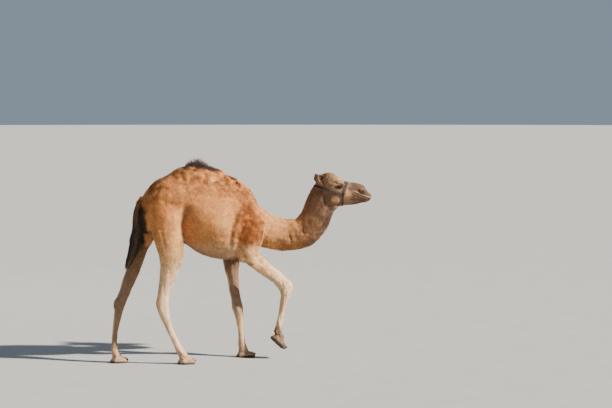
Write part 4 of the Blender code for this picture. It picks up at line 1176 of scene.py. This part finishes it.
def hump_wool(skin, sampler, wool):
    """The dark woolly tuft on the hump, out to its solid's surface."""
    solid = tree_of(nodes["hump_tuft"].data)
    low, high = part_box("hump_tuft")
    middle, half = np.array((low + high) / 2), np.array((high - low) / 2)
    rel = (skin.points - middle) / half
    wanted = (np.hypot(rel[:, 0], rel[:, 1]) < 1.06) * (skin.normals[:, 2] > 0.2) * (skin.s[:, 2] > 1.55)
    corners, weights = sampler.take(wanted * (84000), 7)
    root = at(skin.points, corners, weights)
    count = len(root)
    rng = np.random.default_rng(8)
    rel = (root - middle) / half
    out = unit(np.stack([rel[:, 0] * 0.75 - 0.05, rel[:, 1] * 0.85, np.full(count, 0.80)], axis=1))
    out = unit(out + 0.30 * rng.normal(size=(count, 3)))
    shortest, longest = 0.012, 0.12
    reach = np.full(count, shortest)
    for i in range(count):
        hit = solid.ray_cast(Vector(root[i] + out[i] * 0.20), Vector(-out[i]))[0]
        if hit:
            reach[i] = (hit - Vector(root[i])).length
    length = np.clip(reach, shortest, longest) * rng.uniform(0.70, 1.40, count)
    t = np.linspace(0, 1, 5)
    droop = np.array([-0.30, 0.0, -0.70])
    course = unit(out[:, None] + droop * (t[None, :, None] ** 2) * 0.9)
    edge = step(0.70, 1.02, np.hypot(rel[:, 0], rel[:, 1]))[:, None] * 0.8
    base = colour(56, 33, 23) * (1 - edge) + colour(94, 55, 34) * edge
    uv = unwrap(straight(root), np.zeros(count, int))
    width = rng.uniform(0.0013, 0.0024, count)
    root = root - out * 0.004
    locks("hump_wool", root, course, length, width, base, uv, wool, 1.5, 9, 0.55, ("hump_tuft",))


def tail_fringe(skin, sampler, wool):
    """Black hair that hangs down each buttock beside the tail."""
    wanted = skin.dark_hair_and_shade_by_tail(skin.s, 0.095) * skin.on(("leg_", "trunk")) * 24000
    corners, weights = sampler.take(wanted, 17)
    root, normal = at(skin.points, corners, weights), unit(at(skin.normals, corners, weights))
    count = len(root)
    rng = np.random.default_rng(18)
    down = np.array([-0.16, 0.0, -1.0]) + 0.07 * rng.normal(size=(count, 3))
    down = unit(down - normal * (down * normal).sum(axis=1, keepdims=True))
    t = np.linspace(0, 1, 5)
    course = unit(down[:, None] + normal[:, None] * (0.20 - 0.30 * t)[None, :, None])
    length, width = rng.uniform(0.030, 0.060, count), rng.uniform(0.0009, 0.0016, count)
    uv = unwrap(skin.s[corners[:, 0]], np.zeros(count, int))
    base = np.tile(colour(40, 28, 22), (count, 1))
    locks("tail_fringe", root, course, length, width, base, uv, wool, 0.35, 19)


def tail_hair(wool):
    """Long hair from the tail's dock, out to its solid's surface."""
    rng = np.random.default_rng(31)
    centres, sizes = tail_line(40)
    count, rings = 4400, 6
    start = rng.uniform(0.0, 0.80, count) ** 1.15
    span = rng.uniform(0.20, 0.42, count)
    end = np.minimum(start + span, rng.uniform(0.90, 1.0, count))
    angle = rng.uniform(0, math.tau, count)
    ring = np.sqrt(rng.uniform(0.04, 1.0, count))
    t = np.linspace(0, 1, rings)
    along = start[:, None] + (end - start)[:, None] * t
    level = np.linspace(0, 1, len(centres))
    paths = np.stack([np.interp(along, level, column) for column in centres.T], axis=2)
    open_out = ring[:, None] * np.minimum(1, 0.42 + 2.2 * t)
    curl = 0.045 * np.sin(math.tau * (t * rng.uniform(0.6, 1.6, (count, 1)) + rng.uniform(0, 1, (count, 1))))
    outward = np.stack([np.cos(angle), np.sin(angle), np.zeros(count)], axis=1)[:, None]
    for axis in (0, 1):
        wide = np.interp(along, level, sizes[:, axis])
        paths[..., axis] += (outward[..., axis] * open_out + curl) * wide * 0.97
    course = unit(np.diff(paths, axis=1))
    across = unit(np.cross(course, outward))
    widths = rng.uniform(0.0010, 0.0019, count)[:, None] * np.interp(t[:-1], [0, 0.2, 1], [0.7, 1.0, 0.25])
    low = step(0.22, 0.52, along[:, 4] + 0.07 * rng.normal(size=count))[:, None]
    streak = step(0.1, 0.8, np.sin(angle * 3 + 0.5) + 0.5 * rng.normal(size=count)) * (ring > 0.7)
    streak = streak[:, None]
    hair = colour(28, 20, 16) * (1 - streak) + colour(112, 76, 50) * streak
    base = colour(134, 88, 54) * (1 - low) + hair * low
    # darker towards the roots, as painted shade among the hairs
    shade = tint(base, rng, t, 0.75, 1.2, 0.18)
    uv = np.stack([0.02 + 0.96 * along[:, 2], angle / math.tau], axis=1)
    above = np.cross(course, across)
    build_hair(
        "tail_hair", paths, across, above, widths, widths * 0.6, shade, uv, wool, "dark_wool", ("tail",)
    )


# ---------------------------------------------------------------- materials


def material(name, build):
    """A material whose nodes build makes from its tree and shader."""
    made = bpy.data.materials.new(name)
    made.use_nodes = True
    build(made.node_tree, made.node_tree.nodes["Principled BSDF"])
    return made


def node(tree, kind, **values):
    """A node with its settings, and with its inputs where a name starts with in_."""
    made = tree.nodes.new(kind)
    for key, value in values.items():
        if key.startswith("in_"):
            made.inputs[key[3:].replace("_", " ")].default_value = value
        else:
            setattr(made, key, value)
    return made


def settings(shader, **values):
    """Sets inputs of a shader, named with _ for each space."""
    for key, value in values.items():
        shader.inputs[key.replace("_", " ")].default_value = value


def noise(tree, scale, detail=4.0):
    """A solid pattern of noise, with about scale lumps to a metre."""
    where = node(tree, "ShaderNodeTexCoord")
    made = node(tree, "ShaderNodeTexNoise", in_Scale=scale, in_Detail=detail, in_Roughness=0.6)
    tree.links.new(where.outputs["Object"], made.inputs["Vector"])
    return made.outputs["Fac"]


def ramp(tree, factor, *stops):
    """A ramp between stops of a position and a colour, or a grey given as one number."""
    made = node(tree, "ShaderNodeValToRGB")
    tree.links.new(factor, made.inputs["Fac"])
    elements = made.color_ramp.elements
    while len(elements) < len(stops):
        elements.new(0.5)
    for element, (position, tone) in zip(elements, stops):
        element.position = position
        element.color = (*(tone if np.ndim(tone) else (tone,) * 3), 1.0)
    return made.outputs["Color"]


def multiplied(tree, one, other):
    """One colour times another."""
    made = node(tree, "ShaderNodeMix", data_type="RGBA", blend_type="MULTIPLY")
    made.inputs[0].default_value = 1.0
    tree.links.new(one, made.inputs[6])
    tree.links.new(other, made.inputs[7])
    return made.outputs[2]


def bumped(tree, shader, factor, strength, distance):
    """Makes a pattern stand out from a shader's surface."""
    made = node(tree, "ShaderNodeBump", in_Strength=strength, in_Distance=distance)
    tree.links.new(factor, made.inputs["Height"])
    tree.links.new(made.outputs["Normal"], shader.inputs["Normal"])


def hair_material(name, rough, contrast, bump):
    """Hair in the colours that its mesh carries, with a fine grain and larger patches."""

    def build(tree, shader):
        marks = node(tree, "ShaderNodeAttribute", attribute_type="GEOMETRY", attribute_name="coat")
        grain = ramp(tree, noise(tree, 95.0, 5.0), (0.30, 1 - contrast), (0.70, 1 + contrast * 0.35))
        patch = ramp(tree, noise(tree, 14.0, 3.0), (0.32, (0.86, 0.84, 0.82)), (0.68, (1.08, 1.07, 1.05)))
        tone = multiplied(tree, multiplied(tree, marks.outputs["Color"], grain), patch)
        tree.links.new(tone, shader.inputs["Base Color"])
        settings(shader, Roughness=rough, Specular_IOR_Level=0.25, Sheen_Weight=0.12, Sheen_Roughness=0.5)
        bumped(tree, shader, noise(tree, 420.0, 3.0), bump, 0.002)

    return material(name, build)


def leather(name, dark, light, scale, rough, bump, shine=0.5):
    """Bare skin or horn, mottled from dark to light, with its roughness varying too."""

    def build(tree, shader):
        tone = ramp(tree, noise(tree, scale, 6.0), (0.30, dark), (0.72, light))
        grain = ramp(tree, noise(tree, scale * 2.2), (0.3, rough - 0.12), (0.7, rough + 0.1))
        tree.links.new(tone, shader.inputs["Base Color"])
        tree.links.new(grain, shader.inputs["Roughness"])
        settings(shader, Specular_IOR_Level=shine)
        bumped(tree, shader, noise(tree, scale * 4, 6.0), bump, 0.003)

    return material(name, build)


def webbing_material():
    """Dark woven tape, dusty in places."""

    def build(tree, shader):
        where = node(tree, "ShaderNodeTexCoord")
        weave = node(tree, "ShaderNodeTexWave", wave_type="BANDS", bands_direction="DIAGONAL", in_Scale=620.0)
        weave.inputs["Distortion"].default_value = 2.0
        tree.links.new(where.outputs["Object"], weave.inputs["Vector"])
        dirt = ramp(tree, noise(tree, 60.0, 5.0), (0.3, (0.55, 0.50, 0.46)), (0.7, (1.25, 1.15, 1.05)))
        threads = ramp(tree, weave.outputs["Fac"], (0.0, colour(18, 12, 10)), (1.0, colour(52, 33, 26)))
        tree.links.new(multiplied(tree, threads, dirt), shader.inputs["Base Color"])
        settings(shader, Roughness=0.88)
        bumped(tree, shader, weave.outputs["Fac"], 0.4, 0.0006)

    return material("webbing", build)


def eye_material():
    """A wet dark eyeball with a faint brown cast."""

    def build(tree, shader):
        tone = ramp(tree, noise(tree, 160.0), (0.3, (0.006, 0.004, 0.003)), (0.75, (0.030, 0.014, 0.007)))
        tree.links.new(tone, shader.inputs["Base Color"])
        settings(shader, Roughness=0.12, Specular_IOR_Level=0.35, Coat_Weight=0.25, Coat_Roughness=0.04)

    return material("eyeball", build)


def make_materials():
    return {
        "coat": hair_material("coat", 0.82, 0.30, 0.35),
        "skin": hair_material("skin", 0.85, 0.35, 0.60),
        "wool": hair_material("dark_wool", 0.80, 0.25, 0.30),
        "lid": leather("lid_skin", colour(20, 14, 11), colour(44, 30, 23), 220.0, 0.65, 0.25, 0.15),
        "pad": leather("pad_skin", colour(34, 27, 23), colour(84, 68, 56), 90.0, 0.85, 0.55),
        "nail": leather("nail_horn", colour(36, 27, 21), colour(84, 66, 52), 120.0, 0.60, 0.20),
        "webbing": webbing_material(),
        "eye": eye_material(),
    }


# ---------------------------------------------------------------- eyes, feet, halter


def eyes(materials):
    """Glossy eyeballs with lid rims and lashes."""
    around = 40
    for side, name in SIDES.items():
        centre, radius, out, ahead, up = eye_frame(side)
        bm = bmesh.new()
        bmesh.ops.create_uvsphere(bm, u_segments=48, v_segments=32, radius=radius)
        for vertex in bm.verts:
            bulge = max(0.0, vertex.co.normalized().z - 0.80) / 0.20
            vertex.co *= 1 + 0.045 * bulge * (2 - bulge)
        turned = Matrix((ahead, np.cross(out, ahead), out)).transposed().to_4x4()
        bm.transform(Matrix.Translation(centre) @ turned)
        mesh = mesh_of(bm)
        smooth_shaded(mesh)
        place(f"eyeball_{name}", mesh, materials["eye"], "eyeball", f"eye_{name}")
        rim = []
        for k in range(around):
            cos, sin = math.cos(math.tau * k / around), math.sin(math.tau * k / around)
            u = 0.0226 * math.copysign(abs(cos) ** 1.05, cos)
            v = (0.0096 if sin > 0 else 0.0082) * math.copysign(abs(sin) ** 1.1, sin)
            off = u * u + v * v
            w = math.sqrt((radius + 0.0016) ** 2 - off) if off < radius**2 else 0.006
            rim.append(centre + ahead * u + up * v + out * w)
        lid_rim(f"lid_{name}", rim, out, materials["lid"])
        lashes(name, rim, out, ahead, up, materials["wool"])


def lid_rim(name, path, out, lid):
    """A soft dark rim round the opening of the lids."""
    sides, radius = 8, 0.0012
    bm = bmesh.new()
    rise = Vector(out)
    rings = []
    for i, point in enumerate(path):
        along = Vector(path[(i + 1) % len(path)] - path[i - 1]).normalized()
        rings.append(circle(bm, point, along.cross(rise).normalized(), rise, radius, sides))
    join_rings(bm, rings, True)
    mesh = mesh_of(bm)
    smooth_shaded(mesh)
    place(name, mesh, lid, "fleece")


def lashes(name, rim, out, ahead, up, wool):
    """Long lashes on the upper lid, short ones below."""
    rng = np.random.default_rng(41)
    around = len(rim)
    above = [rim[k] * (1 - f) + rim[k + 1] * f for k in range(1, around // 2) for f in (0.0, 0.33, 0.66)]
    below = [rim[k] * 0.5 + rim[(k + 1) % around] * 0.5 for k in range(around // 2 + 2, around - 1)]
    root = np.array(above + below)
    upper = np.repeat([1.0, 0.0], [len(above), len(below)])
    count = len(root)
    u = (root - root.mean(axis=0)) @ ahead
    start = unit(out + up * (0.15 * upper - 0.5 * (1 - upper))[:, None] + ahead * (u * 22)[:, None])
    t = np.linspace(0, 1, 6)
    sweep = (0.95 * np.sin(t * 2.2) - 1.15 * t**2)[None, :, None] * upper[:, None, None]
    course = unit(start[:, None] - up * sweep)
    length = np.where(upper > 0, 0.0170, 0.007) * rng.uniform(0.8, 1.15, count)
    base = np.tile(colour(30, 20, 15), (count, 1))
    uv = np.stack([np.linspace(0.02, 0.98, count), upper * 0.5 + 0.25], axis=1)
    locks(f"lashes_{name}", root, course, length, np.full(count, 0.00055), base, uv, wool, 0.0, 42)


def nail(leg, which, horn):
    """A nail, rounder than its solid, tapering and drooping towards its tip."""
    name = f"nail_{leg}_{which}"
    foot = points_of(nodes[f"foot_{leg}"].data).mean(axis=0)
    mesh = subdivided(mesh_of(clean_node(name)), 2)
    p = points_of(mesh)
    middle = p.mean(axis=0)
    toe = unit(middle - foot if leg == LIFTED else (middle - foot) * [1, 1, 0])
    along = ((p - middle) @ toe)[:, None]
    reach = np.abs(along).max()
    t = np.clip(along / reach, 0, 1)
    p = middle + (p - middle - along * toe) * (1.05 - 0.42 * t**2) + along * toe - toe * 0.0025
    p[:, 2:] -= 0.28 * reach * t**2
    set_points(mesh, p)
    smooth_shaded(mesh)
    place(f"horn_{leg}_{which}", mesh, horn, "nail", name)


def sole(leg, pad_skin):
    """A cracked leathery sole, flat where it stands on the floor."""
    pad = f"pad_{leg}"
    mesh = remeshed(mesh_of(clean_node(pad)), 0.0024)
    p = spread(mesh, points_of(mesh), 10)
    p += normals_of(mesh) * (0.0012 + 0.0005 * waves(p, 0.012, 81) + 0.0004 * waves(p, 0.005, 82))[:, None]
    if leg != LIFTED:
        p[:, 2] = np.where(p[:, 2] < 0.0022, 0.0, p[:, 2])
    set_points(mesh, p)
    smooth_shaded(mesh)
    place(f"sole_{leg}", mesh, pad_skin, "foot_pad", pad)


def feet(materials):
    for leg in LEGS:
        for which in ("outer", "inner"):
            nail(leg, which, materials["nail"])
        sole(leg, materials["pad"])


def meetings(surface, centre, direction, angles):
    """Where rays from a straight centre leave the surface; direction gives a ray's way at an angle."""
    start = Vector(world(centre)[0])
    points = []
    for angle in angles:
        way = world_direction(centre, np.array([direction(math.radians(angle))]))[0]
        way = Vector(way).normalized()
        points.append(surface.ray_cast(start + way * 0.5, -way)[0])
    return points


def band(name, path, widths, surface, loop, webbing, replaced):
    """A woven band on the skin, with soft edges and a ridge of stitching near each."""
    lift, thick = 0.0030, 0.0040
    half = ((0.0, 0.95), (0.72, 0.82), (0.92, 1.0), (1.03, 0.45), (1.0, 0.0))
    profile = [(-way, high) for way, high in reversed(half[1:])] + list(half)
    bm = bmesh.new()
    count = len(path)
    rings = []
    for i, point in enumerate(path):
        before = path[(i - 1) % count] if loop else path[max(i - 1, 0)]
        after = path[(i + 1) % count] if loop else path[min(i + 1, count - 1)]
        _, normal, _, _ = surface.find_nearest(point)
        across = (after - before).normalized().cross(normal).normalized()
        ring = []
        for way, high in profile:
            foot, out, _, _ = surface.find_nearest(point + across * way * widths[i])
            foot = foot.lerp(point + across * way * widths[i], 0.5)
            ring.append(foot + normal.lerp(out, 0.5).normalized() * (lift + thick * high))
        rings.append([bm.verts.new(p) for p in ring])
    join_rings(bm, rings, loop)
    mesh = subdivided(mesh_of(bm), 1)
    smooth_shaded(mesh)
    place(name, mesh, webbing, "webbing", replaced)


def smooth_path(path, rounds, loop):
    """A path with each point drawn between its neighbours, apart from the ends of an open one."""
    count = len(path)
    for _ in range(rounds):
        path = [
            p if not loop and i in (0, count - 1) else p * 0.5 + (path[i - 1] + path[(i + 1) % count]) * 0.25
            for i, p in enumerate(path)
        ]
    return path


def halter(skin, webbing):
    """The noseband, the headstall that ends at it on both sides, and a knot where they meet."""
    surface = tree_of(skin.mesh)
    lean, wrap, steps = 0.34, 150, 80
    nose, nape = np.array([[1.222, 0.0, 1.398]]), np.array([[1.097, 0.0, 1.434]])
    back = np.array([-0.957, 0.0, 0.290])

    def nose_ray(angle):
        return unit(np.array([lean * max(0.0, math.cos(angle)), math.sin(angle), math.cos(angle)]))

    def nape_ray(angle):
        return back * math.cos(angle) + np.array([0.0, math.sin(angle), 0.0])

    angles = range(0, 360, 5)
    path = smooth_path(meetings(surface, nose, nose_ray, angles), 2, True)
    widths = [0.0065 + 0.0100 * max(0.0, math.cos(math.radians(a))) ** 0.25 for a in angles]
    band("halter_nose_band", path, widths, surface, True, webbing, "halter_noseband")
    angles = [wrap * (2 * k / steps - 1) for k in range(steps + 1)]
    path = smooth_path(meetings(surface, nape, nape_ray, angles), 3, False)
    band("halter_head_band", path, [0.0085] * len(path), surface, False, webbing, "halter_headstall")
    for name in SIDES.values():
        knot(name, webbing)


def knot(name, webbing):
    """Three turns of tape, one over the other."""
    low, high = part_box(f"halter_knot_{name}")
    centre, half = (low + high) / 2, (high - low) / 2
    bm = bmesh.new()
    for turn, scale in ((0, 1.0), (65, 0.92), (125, 0.85)):
        ring = bmesh.ops.create_uvsphere(bm, u_segments=20, v_segments=12, radius=1.0)["verts"]
        for vertex in ring:
            x, y, z = vertex.co
            twist = 1 + 0.10 * math.sin(5 * math.atan2(y, x))
            vertex.co = Vector((x * half.x * 0.62 * twist, y * half.y, z * half.z * scale))
        bmesh.ops.rotate(bm, verts=ring, cent=(0, 0, 0), matrix=Matrix.Rotation(math.radians(turn), 3, "Y"))
    bmesh.ops.translate(bm, verts=bm.verts, vec=centre)
    mesh = mesh_of(bm)
    smooth_shaded(mesh)
    place(f"halter_tie_{name}", mesh, webbing, "webbing", f"halter_knot_{name}")


# ---------------------------------------------------------------- stage


def shown(name, data, position=(0, 0, 0), turn=(0, 0, 0)):
    """An object of the studio, which is no piece of the camel."""
    obj = bpy.data.objects.new(name, data)
    scene.collection.objects.link(obj)
    obj.location, obj.rotation_euler = position, turn
    return obj


def lamp(name, kind, position, size, energy, tone):
    """A light that points at the body; size is a sun's angle in degrees or a disk's width in metres."""
    light = bpy.data.lights.new(name, kind)
    light.energy = energy
    light.color = tone
    if kind == "SUN":
        light.angle = math.radians(size)
    else:
        light.shape = "DISK"
        light.size = size
    aim = Vector((0.0, 0.0, 1.0)) - Vector(position)
    shown(name, light, position, aim.to_track_quat("-Z", "Y").to_euler())


def stage():
    """A pale floor and sky, a long lens a few lengths away, a sun from ahead and two soft lamps."""

    def build(tree, shader):
        tone = ramp(tree, noise(tree, 3.0), (0.3, (0.30, 0.30, 0.295)), (0.7, (0.32, 0.32, 0.315)))
        tree.links.new(tone, shader.inputs["Base Color"])
        settings(shader, Roughness=0.9)

    bm = bmesh.new()
    bmesh.ops.create_circle(bm, cap_ends=True, segments=128, radius=150)
    floor = shown("floor", mesh_of(bm))
    floor.data.materials.append(material("floor", build))

    sky = bpy.data.worlds.new("studio")
    sky.use_nodes = True
    settings(sky.node_tree.nodes["Background"], Color=(0.64, 0.80, 1.0, 1.0), Strength=0.36)
    scene.world = sky

    camera = bpy.data.cameras.new("camera")
    camera.lens, camera.sensor_width = 100.0, 36.0
    pitch, heading = math.radians(-3.43), math.radians(-20.0)
    away = Vector((-4.082, -13.744, 2.184)) + Vector(ORIGIN)
    scene.camera = shown("camera", camera, away, (math.radians(90) + pitch, 0.0, heading))

    lamp("key", "SUN", (6.2, -4.7, 6.0), 2.0, 16.0, (1.0, 0.92, 0.80))
    lamp("fill", "AREA", (-6.0, -6.0, 3.5), 5.0, 50, (0.90, 0.95, 1.0))
    lamp("rim", "AREA", (-1.0, 6.5, 5.0), 4.0, 60, (1.0, 0.97, 0.93))


def main():
    materials = make_materials()
    skin = Skin()
    place("skin", skin.mesh, materials["skin"], "fleece", *flesh_names())
    sampler = coat(skin, materials["coat"])
    hump_wool(skin, sampler, materials["wool"])
    tail_fringe(skin, sampler, materials["wool"])
    tail_hair(materials["wool"])
    eyes(materials)
    feet(materials)
    halter(skin, materials["webbing"])
    stage()


main()
